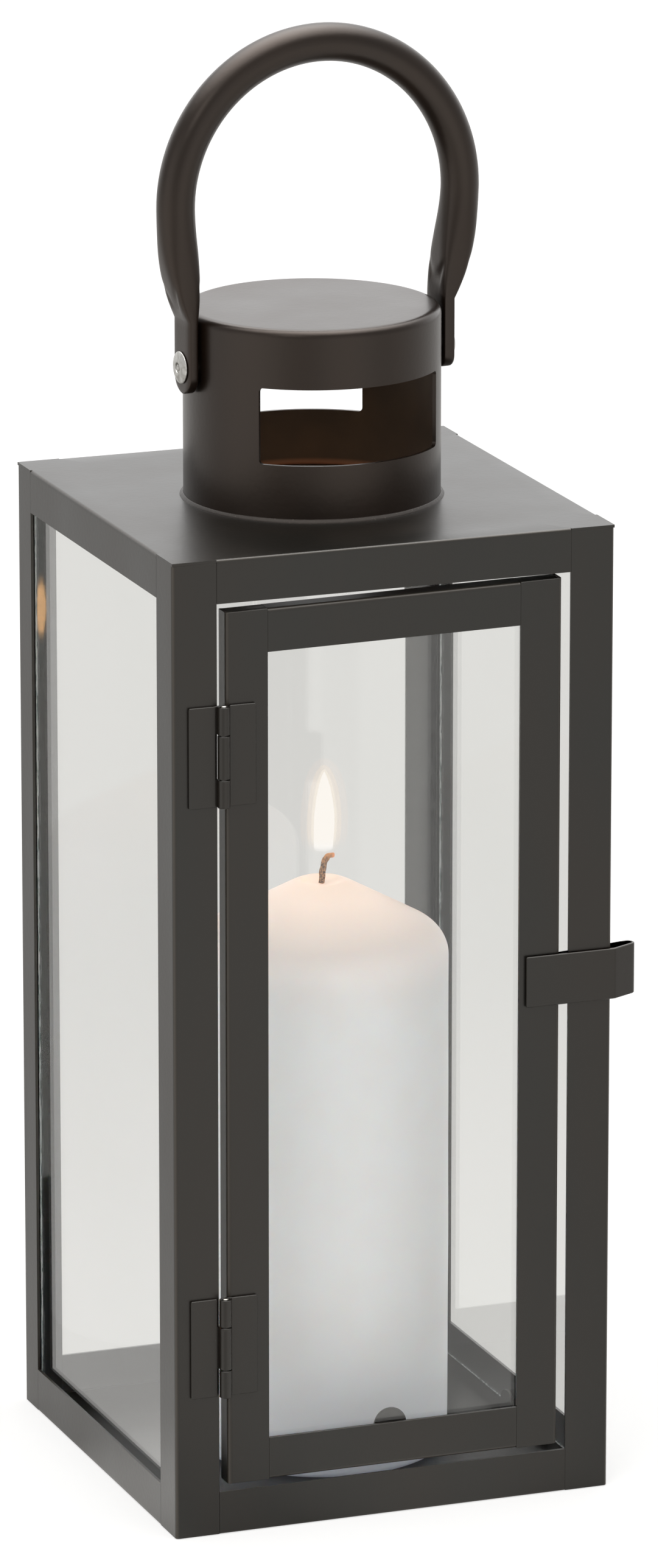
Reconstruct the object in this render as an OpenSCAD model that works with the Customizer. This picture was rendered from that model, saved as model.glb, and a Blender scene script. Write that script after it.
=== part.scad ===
// Candle lantern: a square sheet-steel body with four panes, a hinged door,
// a round vented chimney, a riveted handle and a pillar candle.
// Millimetres. +X runs to the right along the door face, +Y to the back, +Z up.
// The origin is the centre of the base, on the surface that it stands on.

/* [Body] */
// Width over the corner posts
body_w = 126; // [116:1:160]
// Depth over the corner posts
body_d = 126; // [116:1:160]
// Height from the ground to the top of the lid
body_h = 272; // [240:1:340]
// Thickness of the frame's sheet steel
sheet_t = 0.8; // [0.6:0.1:1.2]
// Height of the skirts of the lid and of the base
skirt_h = 12; // [10:0.5:18]
// Outer radius of the lid's folded edge
fold_r = 1.4; // [1.3:0.1:2.4]
// Leg width of the two front posts
front_leg = 12.5; // [10:0.5:15]
// Leg width of the two back posts
back_leg = 10.8; // [9:0.2:15]
// Diameter of the vent hole in the lid
vent_d = 66; // [50:1:67]

/* [Panes] */
// Thickness of the glass
glass_t = 2; // [1.5:0.1:3]
// Distance from a post's outer face to the pane behind it
pane_inset = 2.2; // [2:0.1:3]
// Gap between a front post and the front edge of a side pane
side_pane_front_gap = 3.8; // [0.5:0.1:6]
// Gap between the back edge of a side pane and the back pane
side_pane_back_gap = 3.2; // [0.5:0.1:6]
// Gap between the ends of the back pane and the side panes' outer faces
back_pane_gap = 1.3; // [0.5:0.1:3]
// Height of a side pane's lower edge over the floor
side_pane_lift = 3; // [0.5:0.5:4]
// Height of the back pane's lower edge over the floor
back_pane_lift = 0.9; // [0.5:0.1:4]
// Gap between a pane's upper edge and the lid's underside
pane_head_gap = 1.2; // [0.5:0.1:3]
// Width of a glass clip
clip_w = 9.4; // [6:0.2:14]
// Thickness of a glass clip
clip_t = 0.8; // [0.6:0.1:1.2]
// Height of a fixed pane's lower clip over the floor
clip_h = 7.5; // [6:0.5:10]
// Running gap between a clip and the glass
clip_gap = 0.1; // [0.05:0.05:0.3]

/* [Chimney] */
// Outer diameter of the chimney
chimney_d = 70; // [60:1:75]
// Height of the chimney over the lid
chimney_h = 52.5; // [45:0.5:60]
// Wall of the chimney
chimney_t = 1; // [0.8:0.1:1.4]
// Outer radius of its top edge
chimney_edge_r = 2.2; // [1.6:0.1:4]
// Angle that a window spans
window_angle = 97; // [60:1:110]
// Height of a window
window_h = 20.9; // [14:0.1:24]
// Height of a window's sill over the lid
window_sill = 15.5; // [10:0.5:20]
// Turn of the chimney and its handle about the upright axis
chimney_turn = 4; // [-8:1:8]
// Width of the weld bead around its foot
bead_w = 1.5; // [1:0.1:2.5]

/* [Handle] */
// Diameter of the handle's tube
tube_d = 10.4; // [8:0.2:12]
// Radius of the bow, to the tube's axis
bow_r = 42.1; // [41:0.1:48]
// Height of the bow's centre over the pivot
bow_rise = 43.5; // [42:0.5:60]
// How far the bow leans to the right of the chimney's middle
bow_shift = 2; // [0:0.1:3]
// Height of the pivot over the lid
pivot_h = 38.5; // [34:0.5:42]
// Width of a flattened end
end_w = 12; // [9.6:0.2:14]
// Thickness of a flattened end
end_t = 3.2; // [2:0.1:4]
// Length of a flattened end below the pivot
end_drop = 7.2; // [6:0.1:9]
// Length of a flattened end above the pivot
end_rise = 13; // [7:0.5:16]
// Gap between a flattened end and the chimney
end_gap = 0.5; // [0.35:0.05:1]

/* [Rivets] */
// Diameter of a rivet's shank
shank_d = 4.8; // [3.2:0.1:5]
// Diameter of a rivet's head
rivet_head_d = 9.4; // [7:0.1:10]
// Height of a rivet's head
rivet_head_h = 1.7; // [1:0.1:2.5]
// Diameter of the hollow in a rivet's head
rivet_hollow_d = 2.8; // [1.5:0.1:3]
// Diameter of the bulb inside the chimney
bulb_d = 6.8; // [6:0.1:8]
// Length of the bulb
bulb_l = 3; // [2:0.5:5]

/* [Door] */
// Gap between the door and each front post
door_side_gap = 2.5; // [1.5:0.1:3.5]
// Gap above the door
door_top_gap = 2; // [1:0.1:4]
// Gap below the door
door_foot_gap = 2; // [1:0.1:4]
// Width of the door's stiles and rails
member_w = 11.9; // [9:0.1:14]
// Depth of the door's folded edge
door_depth = 5.5; // [5.4:0.1:8]
// Thickness of the door's sheet
door_t = 0.9; // [0.7:0.1:1.1]
// Height of the door's lower clip above the rail's edge
door_clip_rise = 3.4; // [2:0.1:6]
// Gap between the door's pane and its frame
door_pane_gap = 0.6; // [0.3:0.1:1]

/* [Hinges] */
// Height of a hinge
hinge_h = 27.7; // [20:0.1:34]
// Width of one leaf from the pin's axis
leaf_w = 9.5; // [7:0.1:12]
// Thickness of a leaf
leaf_t = 0.9; // [0.6:0.1:1.1]
// Outer diameter of the knuckles
knuckle_d = 3.4; // [3:0.1:4]
// Diameter of the pin
pin_d = 1.8; // [1.4:0.1:1.9]
// Radial clearance around the pin
pin_clear = 0.05; // [0.03:0.01:0.1]
// Length of the middle knuckle
mid_knuckle = 11.8; // [8:0.1:14]
// Gap between two knuckles
knuckle_gap = 0.3; // [0.25:0.05:0.5]
// Distance from the body's top or foot to the middle of a hinge
hinge_inset = 53.5; // [40:0.5:80]
// Length of pin that shows at each end
pin_end = 0.3; // [0.1:0.1:1]

/* [Latch] */
// Height of the latch strip
latch_h = 14.2; // [8:0.1:20]
// Thickness of the latch strip
latch_t = 0.8; // [0.5:0.1:1]
// Height of the strip's middle over the ground
latch_z = 147; // [100:1:180]
// Distance from the strip's welded end to the inner edge of the stile
latch_inset = 1.8; // [0.5:0.1:3]
// Length of the welded end
latch_foot_l = 3; // [2:0.5:5]
// Gap between the strip and the faces behind it
latch_gap = 0.4; // [0.35:0.05:0.8]
// Angle at which the strip bends back beyond the post
latch_bend = 26; // [15:1:40]
// Inner radius of that bend
latch_bend_r = 0.8; // [0.4:0.1:2]
// Length of the strip beyond the bend, up to its curl
latch_tail = 6.6; // [5:0.1:12]
// Outer radius of the curled end
curl_r = 1.8; // [1.3:0.1:2.5]
// Straight length of the curl's return
curl_return = 3.2; // [1:0.1:5]

/* [Candle] */
// Diameter of the candle
candle_d = 70; // [50:1:75]
// Height of the candle at its rim
candle_h = 162; // [100:1:180]
// Distance of the candle's axis from the middle of the lantern
candle_x = 2.5; // [-5:0.5:5]
// Fall of the burnt top from its rim to the wall
shoulder_fall = 16.8; // [10:0.2:24]
// Radius of the shoulder
shoulder_r = 7; // [3:0.5:10]
// Radius of the hollow around the wick
pool_r = 7.5; // [5:0.5:12]
// Depth of the hollow around the wick
pool_depth = 1; // [0.5:0.1:2]
// Diameter of the wick
wick_d = 1.9; // [1:0.1:3]
// Radius of the wick's bend
wick_bend_r = 9.5; // [6:0.5:14]
// Angle of the wick's bend
wick_bend = 55; // [30:5:80]

/* [Hidden] */
$fn = 96;

paint = [0.16, 0.15, 0.14];
glass = [0.75, 0.85, 0.83, 0.4];
zinc = [0.75, 0.75, 0.76];
wax = [0.93, 0.90, 0.85];

eps = 0.01;                       // overshoot of a cutting tool
spin_clear = 0.08;                // radial clearance of the handle on its rivets
bead_clear = 0.04;                // gap that keeps the weld bead off the curved wall
rest_gap = 0.1;                   // gap under the candle
face_x = body_w / 2;              // outer faces of the posts
face_y = body_d / 2;
skirt_x = face_x - sheet_t;       // outer faces of the skirts, inside the posts
skirt_y = face_y - sheet_t;
floor_z = sheet_t;                // top of the floor
lid_under = body_h - sheet_t;     // underside of the lid
pane_x = face_x - pane_inset;     // outer face of a side pane
pane_y = face_y - pane_inset;     // outer face of the back pane
side_pane_back = pane_y - glass_t - side_pane_back_gap;
side_pane_w = side_pane_back + skirt_y - side_pane_front_gap;
pivot_z = body_h + pivot_h;
end_in = chimney_d / 2 + end_gap; // inner face of a flattened handle end
end_out = end_in + end_t;
door_left = -face_x + front_leg + door_side_gap;
door_right = face_x - front_leg - door_side_gap;
door_foot = skirt_h + door_foot_gap;
door_top = body_h - skirt_h - door_top_gap;
hinge_x = -face_x + front_leg + door_side_gap / 2;
hinge_y = -face_y - knuckle_d / 2;
upper_hinge_z = body_h - hinge_inset;
lower_hinge_z = hinge_inset;
latch_y = -face_y - latch_gap - latch_t;      // front face of the latch strip
latch_x = door_right - member_w + latch_inset;
flex_x = latch_x + latch_foot_l;              // line about which the strip flexes
flex_gap = 0.3;
bend_x = face_x + latch_gap;                  // where the strip bends back

// ---- frame ----------------------------------------------------------------

// A rectangle whose two upper corners are rounded to radius r
module arched(w, h, r) {
    translate([-w / 2, 0]) square([w, h - r]);
    translate([-w / 2 + r, 0]) square([w - 2 * r, h]);
    for (s = [-1, 1]) translate([s * (w / 2 - r), h - r]) circle(r);
}

// A block whose upper edges are rounded on all four sides
module soft_block(w, d, h, r) {
    intersection() {
        translate([0, d / 2, 0]) rotate([90, 0, 0]) linear_extrude(d) arched(w, h, r);
        translate([-w / 2, 0, 0]) rotate([90, 0, 90]) linear_extrude(w) arched(d, h, r);
    }
}

module top_cover() {
    color(paint) translate([0, 0, body_h - skirt_h]) difference() {
        soft_block(2 * skirt_x, 2 * skirt_y, skirt_h, fold_r);
        translate([0, 0, -eps])
            soft_block(2 * (skirt_x - sheet_t), 2 * (skirt_y - sheet_t),
                       skirt_h - sheet_t + eps, fold_r - sheet_t);
        cylinder(d = vent_d, h = 3 * skirt_h, center = true);
    }
}

module base_tray() {
    color(paint) difference() {
        translate([-skirt_x, -skirt_y, 0]) cube([2 * skirt_x, 2 * skirt_y, skirt_h]);
        translate([-skirt_x + sheet_t, -skirt_y + sheet_t, floor_z])
            cube([2 * (skirt_x - sheet_t), 2 * (skirt_y - sheet_t), skirt_h]);
    }
}

// An L post with its corner at the outer corner of the body; sx and sy pick the corner
module corner_post(sx, sy, leg) {
    post_h = lid_under;
    color(paint) mirror([sx > 0 ? 1 : 0, 0, 0]) mirror([0, sy > 0 ? 1 : 0, 0])
        translate([-face_x, -face_y, 0]) {
            cube([leg, sheet_t, post_h]);
            cube([sheet_t, leg, post_h]);
        }
}

// ---- panes ----------------------------------------------------------------

module side_glass(sx) {
    low = floor_z + side_pane_lift;
    color(glass) mirror([sx > 0 ? 1 : 0, 0, 0])
        translate([-pane_x, side_pane_back - side_pane_w, low])
            cube([glass_t, side_pane_w, lid_under - pane_head_gap - low]);
}

module back_glass() {
    half = pane_x - back_pane_gap;
    low = floor_z + back_pane_lift;
    color(glass) translate([-half, pane_y - glass_t, low])
        cube([2 * half, glass_t, lid_under - pane_head_gap - low]);
}

// An upright tab with a half-round head; it stands on z = 0 with its face on y = 0
module round_tab(h) {
    translate([0, clip_t, 0]) rotate([90, 0, 0]) linear_extrude(clip_t) {
        translate([-clip_w / 2, 0]) square([clip_w, h - clip_w / 2]);
        intersection() {
            translate([0, h - clip_w / 2]) circle(d = clip_w);
            translate([-clip_w / 2, 0]) square([clip_w, h]);
        }
    }
}

// The clips of a fixed pane that faces -Y, with its outer face on y = 0:
// a seat under the pane with a tab inside it, and a square tab at its head
module pane_clips(lift) {
    color(paint) {
        translate([-clip_w / 2, 0, floor_z]) cube([clip_w, glass_t + clip_gap, lift]);
        translate([0, glass_t + clip_gap, floor_z]) round_tab(clip_h);
        translate([-clip_w / 2, glass_t + clip_gap, lid_under - clip_h])
            cube([clip_w, clip_t, clip_h]);
    }
}

module left_glass_clips() {
    translate([-pane_x, 0, 0]) rotate(-90) pane_clips(side_pane_lift);
}

module right_glass_clips() {
    translate([pane_x, 0, 0]) rotate(90) pane_clips(side_pane_lift);
}

module back_glass_clips() {
    translate([0, pane_y, 0]) rotate(180) pane_clips(back_pane_lift);
}

// ---- chimney --------------------------------------------------------------

// Half section of a cup, from the axis out: outer radius r, height h, edge radius e
module cup_half(r, h, e) {
    square([r, h - e]);
    square([r - e, h]);
    translate([r - e, h - e]) circle(e);
}

// One window's cut, centred on +X before it is turned
module window_cut() {
    rotate(-window_angle / 2) rotate_extrude(angle = window_angle)
        translate([chimney_d / 4, 0]) square([chimney_d / 2, window_h]);
}

module chimney() {
    r = chimney_d / 2;
    color(paint) translate([0, 0, body_h]) rotate(chimney_turn) difference() {
        rotate_extrude() cup_half(r, chimney_h, chimney_edge_r);
        translate([0, 0, -eps]) rotate_extrude()
            cup_half(r - chimney_t, chimney_h - chimney_t + eps, chimney_edge_r - chimney_t);
        for (a = [-90, 90]) rotate(a) translate([0, 0, window_sill]) window_cut();
        translate([0, 0, pivot_h]) rotate([0, 90, 0])
            cylinder(d = shank_d, h = 2 * chimney_d, center = true);
    }
}

module chimney_weld_bead() {
    color(paint) translate([0, 0, body_h]) rotate_extrude() intersection() {
        translate([chimney_d / 2 + bead_clear, 0]) square(bead_w);
        translate([chimney_d / 2 + bead_clear, 0]) circle(bead_w);
    }
}

// A blind rivet on the +X side: domed head outside, shank through the wall, bulb inside
module rivet() {
    wall = chimney_d / 2 - chimney_t;
    under = end_out + rest_gap;               // underside of the head
    rim = 0.5;                                // straight edge of the head
    dome = rivet_head_h - rim;
    dome_r = (pow(rivet_head_d / 2, 2) + dome * dome) / (2 * dome);
    bulb_end = sqrt(wall * wall - bulb_d * bulb_d / 4) - rest_gap;
    rotate([0, 90, 0]) difference() {
        union() {
            translate([0, 0, bulb_end - bulb_l]) cylinder(d = bulb_d, h = bulb_l);
            translate([0, 0, bulb_end - eps]) cylinder(d = shank_d, h = under - bulb_end + 2 * eps);
            translate([0, 0, under]) cylinder(d = rivet_head_d, h = rim);
            intersection() {
                translate([0, 0, under + rim]) cylinder(d = rivet_head_d, h = dome);
                translate([0, 0, under + rivet_head_h - dome_r]) sphere(dome_r);
            }
        }
        translate([0, 0, under + rim]) cylinder(d = rivet_hollow_d, h = rivet_head_h);
    }
}

module placed_rivet(side) {
    color(zinc) translate([0, 0, pivot_z]) rotate(chimney_turn + (side < 0 ? 180 : 0)) rivet();
}

// ---- handle ---------------------------------------------------------------

// The leg of the handle between the bow and the flattened end is a row of rings.
// Along it the ring's centre moves in, its thickness falls and its width grows.
leg_rings = 16;
ring_sides = 24;
leg_top = bow_rise;                    // heights over the pivot
leg_foot = end_rise;
end_mid = (end_in + end_out) / 2;
shy = 0.02;                            // keeps the rings inside the faces that they meet
function ease(t) = t * t * (3 - 2 * t);
function leg_z(t) = leg_top + (leg_foot - leg_top) * t;
// s is 1 for the leg on the +X side and -1 for the other, which starts further in
function leg_x(t, s) = let (from = bow_r + s * bow_shift) from + (end_mid - from) * pow(t, 1.6);
function press(t) = pow(max(0, (t - 0.3) / 0.7), 2);
function leg_a(t) = tube_d / 2 - shy + (end_t / 2 - tube_d / 2) * press(t);
function leg_b(t) = tube_d / 2 - shy + (end_w / 2 - tube_d / 2) * ease(min(1, 1.6 * t));
// The ring is round at the top and nearly a rectangle at the foot
function squarer(v, t) = sign(v) * pow(abs(v), 1 - 0.55 * ease(t));
function leg_ring(t, s) = [for (k = [0:ring_sides - 1]) let (a = 360 * k / ring_sides)
    [leg_x(t, s) + leg_a(t) * squarer(cos(a), t), leg_b(t) * squarer(sin(a), t), leg_z(t)]];

module handle_leg(s) {
    points = [for (i = [0:leg_rings]) each leg_ring(i / leg_rings, s)];
    n = ring_sides;
    sides = [for (i = [0:leg_rings - 1], k = [0:n - 1])
        [i * n + k, i * n + (k + 1) % n, (i + 1) * n + (k + 1) % n, (i + 1) * n + k]];
    top = [for (k = [n - 1:-1:0]) k];
    foot = [for (k = [0:n - 1]) leg_rings * n + k];
    polyhedron(points, concat(sides, [top], [foot]));
}

// The flattened end on the +X side, with a round corner at each side of its foot
module handle_end() {
    corner = end_w / 4;
    translate([end_in, 0, 0]) rotate([90, 0, 90]) linear_extrude(end_t) {
        translate([-end_w / 2, -end_drop + corner]) square([end_w, end_rise + end_drop - corner]);
        translate([-end_w / 2 + corner, -end_drop]) square([end_w - 2 * corner, corner]);
        for (s = [-1, 1])
            translate([s * (end_w / 2 - corner), -end_drop + corner]) circle(corner);
    }
}

module handle() {
    color(paint) translate([0, 0, pivot_z]) rotate(chimney_turn) difference() {
        union() {
            translate([bow_shift, 0, bow_rise]) rotate([90, 0, 0])
                rotate_extrude(angle = 180) translate([bow_r, 0]) circle(d = tube_d);
            for (s = [1, -1]) mirror([s < 0 ? 1 : 0, 0, 0]) {
                handle_leg(s);
                handle_end();
            }
        }
        rotate([0, 90, 0])
            cylinder(d = shank_d + 2 * spin_clear, h = 3 * chimney_d, center = true);
    }
}

// ---- door -----------------------------------------------------------------

module door_stile(x, edge) {
    h = door_top - door_foot;
    color(paint) translate([x, -face_y, door_foot]) {
        translate([edge < 0 ? 0 : -member_w, 0, 0]) cube([member_w, door_t, h]);
        translate([edge < 0 ? 0 : -door_t, 0, 0]) cube([door_t, door_depth, h]);
    }
}

// A rail at height z; edge is 1 for the top rail, whose fold is at its top
module door_rail(z, edge) {
    face_l = door_right - door_left - 2 * member_w;
    fold_l = door_right - door_left - 2 * door_t;
    color(paint) {
        translate([door_left + member_w, -face_y, edge > 0 ? z - member_w : z])
            cube([face_l, door_t, member_w]);
        translate([door_left + door_t, -face_y + door_t, edge > 0 ? z - door_t : z])
            cube([fold_l, door_depth - door_t, door_t]);
    }
}

door_pane_y = -face_y + door_t + clip_gap;     // front face of the door's pane

module door_glass() {
    inset = door_t + door_pane_gap;
    color(glass) translate([door_left + inset, door_pane_y, door_foot + inset])
        cube([door_right - door_left - 2 * inset, glass_t, door_top - door_foot - 2 * inset]);
}

module door_glass_clips() {
    mid = (door_left + door_right) / 2;
    y = door_pane_y + glass_t + clip_gap;
    low = door_foot + door_t;
    color(paint) {
        translate([mid, y, low]) round_tab(member_w - door_t + door_clip_rise);
        translate([mid - clip_w / 2, y, door_top - door_t - clip_h])
            cube([clip_w, clip_t, clip_h]);
    }
}

// ---- hinges ---------------------------------------------------------------

end_knuckle = (hinge_h - mid_knuckle) / 2 - knuckle_gap;

// One leaf on the -X side of the pin. middle says whether it carries the middle knuckle.
module hinge_leaf(middle) {
    clear = knuckle_d / 2 + knuckle_gap;
    spans = middle ? [[-mid_knuckle / 2, mid_knuckle]]
                   : [[-hinge_h / 2, end_knuckle], [hinge_h / 2 - end_knuckle, end_knuckle]];
    back = knuckle_d / 2;                       // the leaf lies against the face behind
    color(paint) difference() {
        union() {
            translate([-leaf_w, back - leaf_t, -hinge_h / 2])
                cube([leaf_w - clear, leaf_t, hinge_h]);
            for (s = spans) translate([0, 0, s[0]]) {
                translate([-leaf_w, back - leaf_t, 0]) cube([leaf_w, leaf_t, s[1]]);
                cylinder(d = knuckle_d, h = s[1]);
            }
        }
        cylinder(d = pin_d + 2 * pin_clear, h = 2 * hinge_h, center = true);
    }
}

module hinge_pin() {
    color(zinc) cylinder(d = pin_d, h = hinge_h + 2 * pin_end, center = true);
}

module at_hinge(z) {
    translate([hinge_x, hinge_y, z]) children();
}

// ---- latch ----------------------------------------------------------------

// A bend of the strip: it starts at the origin along +X and turns left by up to 90 degrees
module strip_bend(angle, inner) {
    outer = inner + latch_t;
    reach = 2 * outer;
    translate([0, outer]) intersection() {
        difference() {
            circle(outer);
            circle(inner);
        }
        polygon([[0, 0], [0, -reach], [reach * sin(angle), -reach * cos(angle)]]);
    }
}

// Moves to the end of such a bend
module after_bend(angle, inner) {
    outer = inner + latch_t;
    translate([outer * sin(angle), outer * (1 - cos(angle))]) rotate(angle) children();
}

// The strip's outline seen from above, from the flexing line to the end of its curl
module latch_outline() {
    curl_in = curl_r - latch_t;
    straight = bend_x - flex_x - flex_gap;
    translate([flex_x + flex_gap, latch_y]) square([straight, latch_t]);
    translate([bend_x, latch_y]) {
        strip_bend(latch_bend, latch_bend_r);
        after_bend(latch_bend, latch_bend_r) {
            square([latch_tail, latch_t]);
            translate([latch_tail, 0]) {
                strip_bend(90, curl_in);
                after_bend(90, curl_in) {
                    strip_bend(90, curl_in);
                    after_bend(90, curl_in) square([curl_return, latch_t]);
                }
            }
        }
    }
}

module latch_clip() {
    color(paint) translate([0, 0, latch_z - latch_h / 2]) linear_extrude(latch_h) latch_outline();
}

// The welded end reaches back to the stile behind it
module latch_foot() {
    color(paint) translate([latch_x, latch_y, latch_z - latch_h / 2])
        cube([latch_foot_l, latch_t + latch_gap, latch_h]);
}

// ---- candle ---------------------------------------------------------------

// Half section of the candle. From the rim of the hollow the top falls in a straight
// slope to a round shoulder, which meets the wall.
candle_r = candle_d / 2;
rim_r = pool_r + 3;
rim_fall = 0.9;
foot_r = 1.5;
fall_angle = atan((shoulder_fall - shoulder_r) / (candle_r - shoulder_r / 2 - rim_r));
shoulder_pts = [for (i = [0:10]) let (a = (90 - fall_angle) * i / 10)
    [candle_r - shoulder_r * (1 - cos(a)), candle_h - shoulder_fall + shoulder_r * sin(a)]];
rim_pts = [for (i = [6:-1:1]) let (t = i / 6)
    [pool_r + (rim_r - pool_r) * t, candle_h - rim_fall * t * t]];
pool_pts = [for (i = [6:-1:0]) let (t = i / 6)
    [wick_d + (pool_r - wick_d) * t, candle_h - pool_depth * (1 - t * t)]];

module candle() {
    color(wax) translate([candle_x, 0, floor_z + rest_gap]) rotate_extrude()
        polygon(concat([[0, 0], [candle_r - foot_r, 0], [candle_r, foot_r]],
                       shoulder_pts, rim_pts, pool_pts, [[0, candle_h - pool_depth]]));
}

// The wick stands in the hollow and curls over to +X
module wick() {
    foot = floor_z + rest_gap + candle_h - pool_depth;
    color([0.2, 0.14, 0.1]) translate([candle_x, 0, foot]) {
        translate([wick_bend_r, 0, 0]) rotate([90, 0, 0])
            rotate([0, 0, 180 - wick_bend]) rotate_extrude(angle = wick_bend)
                translate([wick_bend_r, 0]) circle(d = wick_d);
    }
}

// ---- nodes ----------------------------------------------------------------

top_cover();
base_tray();
corner_post(-1, -1, front_leg);  // corner_post_front_left
corner_post(1, -1, front_leg);  // corner_post_front_right
corner_post(-1, 1, back_leg);  // corner_post_back_left
corner_post(1, 1, back_leg);  // corner_post_back_right
side_glass(-1);  // left_glass
side_glass(1);  // right_glass
back_glass();
left_glass_clips();
right_glass_clips();
back_glass_clips();
chimney();
chimney_weld_bead();
placed_rivet(-1);  // left_rivet
placed_rivet(1);  // right_rivet
at_hinge(upper_hinge_z) hinge_leaf(false);  // upper_hinge_post_leaf
at_hinge(lower_hinge_z) hinge_leaf(true);  // lower_hinge_post_leaf
at_hinge(upper_hinge_z) hinge_pin();  // upper_hinge_pin
at_hinge(lower_hinge_z) hinge_pin();  // lower_hinge_pin
door_stile(door_left, -1);  // door_left_stile
door_stile(door_right, 1);  // door_right_stile
door_rail(door_top, 1);  // door_top_rail
door_rail(door_foot, -1);  // door_bottom_rail
door_glass();
door_glass_clips();
at_hinge(upper_hinge_z) mirror([1, 0, 0]) hinge_leaf(true);  // upper_hinge_door_leaf
at_hinge(lower_hinge_z) mirror([1, 0, 0]) hinge_leaf(false);  // lower_hinge_door_leaf
latch_foot();
latch_clip();
handle();
candle();
wick();
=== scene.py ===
"""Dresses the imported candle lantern: folded sheet frame, panes, chimney, handle, door and a lit candle."""

import math

import bpy
import numpy as np
from bpy.props import FloatProperty, FloatVectorProperty, PointerProperty
from bpy.types import Operator, Panel, PropertyGroup
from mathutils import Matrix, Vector


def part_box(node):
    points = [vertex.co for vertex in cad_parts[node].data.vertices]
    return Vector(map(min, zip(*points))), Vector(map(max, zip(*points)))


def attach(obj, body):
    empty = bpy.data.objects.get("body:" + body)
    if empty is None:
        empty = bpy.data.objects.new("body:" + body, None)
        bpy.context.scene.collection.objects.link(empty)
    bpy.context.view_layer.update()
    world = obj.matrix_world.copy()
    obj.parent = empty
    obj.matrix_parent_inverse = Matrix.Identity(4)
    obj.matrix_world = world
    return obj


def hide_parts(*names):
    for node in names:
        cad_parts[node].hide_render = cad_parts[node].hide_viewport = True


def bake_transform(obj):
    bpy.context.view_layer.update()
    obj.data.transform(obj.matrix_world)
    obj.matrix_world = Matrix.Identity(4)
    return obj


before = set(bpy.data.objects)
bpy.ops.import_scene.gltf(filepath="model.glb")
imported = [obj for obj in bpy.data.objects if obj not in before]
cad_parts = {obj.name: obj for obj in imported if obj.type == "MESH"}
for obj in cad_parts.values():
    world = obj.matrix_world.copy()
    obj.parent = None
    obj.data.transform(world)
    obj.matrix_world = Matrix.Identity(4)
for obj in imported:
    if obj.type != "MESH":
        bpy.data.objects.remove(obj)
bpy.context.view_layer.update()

bl_info = {
    "name": "Candle Lantern",
    "version": (1, 0, 0),
    "blender": (4, 5, 0),
    "location": "View3D > Sidebar > Lantern",
    "description": "Builds the visible pieces of a sheet-steel candle lantern over its packed frame",
    "category": "Object",
}

# The helper functions work in millimetres, and make_piece turns them to metres.
MM = 0.001
# The chimney was welded on a little turned, and the handle on its rivets with it.
TURN = math.radians(4.0)
POSTS = ["corner_post_" + place for place in ("front_left", "front_right", "back_left", "back_right")]


# ---- sizes from the frame ----------------------------------------------------


def box(node):
    """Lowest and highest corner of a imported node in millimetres."""
    low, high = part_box(node)
    return np.array(low) / MM, np.array(high) / MM


def extent(node, axis):
    """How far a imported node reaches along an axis, in millimetres."""
    low, high = box(node)
    return high[axis] - low[axis]


def hex_colour(text):
    """Linear RGBA of an sRGB hex colour: c/12.92 below 0.04045, else ((c + 0.055) / 1.055) to the 2.4."""
    srgb = np.array([int(text[i : i + 2], 16) for i in (1, 3, 5)]) / 255.0
    linear = np.where(srgb <= 0.04045, srgb / 12.92, ((srgb + 0.055) / 1.055) ** 2.4)
    return (*linear.tolist(), 1.0)


class LanternSizes(PropertyGroup):
    """Sizes of the sheet, folds and rounded edges that the pieces are drawn with."""

    sheet: FloatProperty(
        name="Sheet", description="Thickness of the frame's sheet steel",
        default=0.0008, unit="LENGTH",
    )
    door_sheet: FloatProperty(
        name="Door sheet", description="Thickness of the door's sheet steel",
        default=0.0009, unit="LENGTH",
    )
    post_fold: FloatProperty(
        name="Post fold", description="Outer radius of the fold down each corner post",
        default=0.0010, unit="LENGTH",
    )
    lid_fold: FloatProperty(
        name="Lid fold", description="Outer radius of the fold round the lid, twice that of the tray's",
        default=0.0008, unit="LENGTH",
    )
    vent: FloatProperty(
        name="Vent radius", description="Radius of the vent hole in the lid, under the chimney",
        default=0.033, unit="LENGTH",
    )
    window_corner: FloatProperty(
        name="Window corner", description="Radius in the corners of the chimney's windows",
        default=0.0012, unit="LENGTH",
    )
    pane_bevel: FloatProperty(
        name="Pane bevel", description="Width of the ground bevel round each pane",
        default=0.00025, unit="LENGTH",
    )
    flame_height: FloatProperty(
        name="Flame height", description="Height of the flame from its clear foot to its tip",
        default=0.0228, unit="LENGTH",
    )
    flame_width: FloatProperty(
        name="Flame width", description="Greatest width of the flame's bright core",
        default=0.0055, unit="LENGTH",
    )


class LanternColours(PropertyGroup):
    """Colours of the finishes."""

    paint: FloatVectorProperty(
        name="Paint", description="Colour of the satin powder coat",
        subtype="COLOR", size=4, default=hex_colour("#161512"),
    )
    top_paint: FloatVectorProperty(
        name="Top paint", description="Colour of the powder coat on the chimney and the handle",
        subtype="COLOR", size=4, default=hex_colour("#140E0A"),
    )
    wax: FloatVectorProperty(
        name="Wax", description="Colour of the candle's cool lower wax",
        subtype="COLOR", size=4, default=hex_colour("#F2F3F4"),
    )
    # The lit wax colour is the flame's warm light painted into the wax round it.
    wax_painted_flame_light: FloatVectorProperty(
        name="Lit wax", description="Colour of the wax round the flame",
        subtype="COLOR", size=4, default=hex_colour("#FFE9DA"),
    )
    floor: FloatVectorProperty(
        name="Floor", description="Colour of the studio floor",
        subtype="COLOR", size=4, default=hex_colour("#C4C3C1"),
    )


# ---- shells ------------------------------------------------------------------
#
# A shell is a closed surface: points (n, 3) in millimetres, a list of faces, a number
# "worn" for each point (1 on folds and cut edges) and a material slot for each face.


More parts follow.
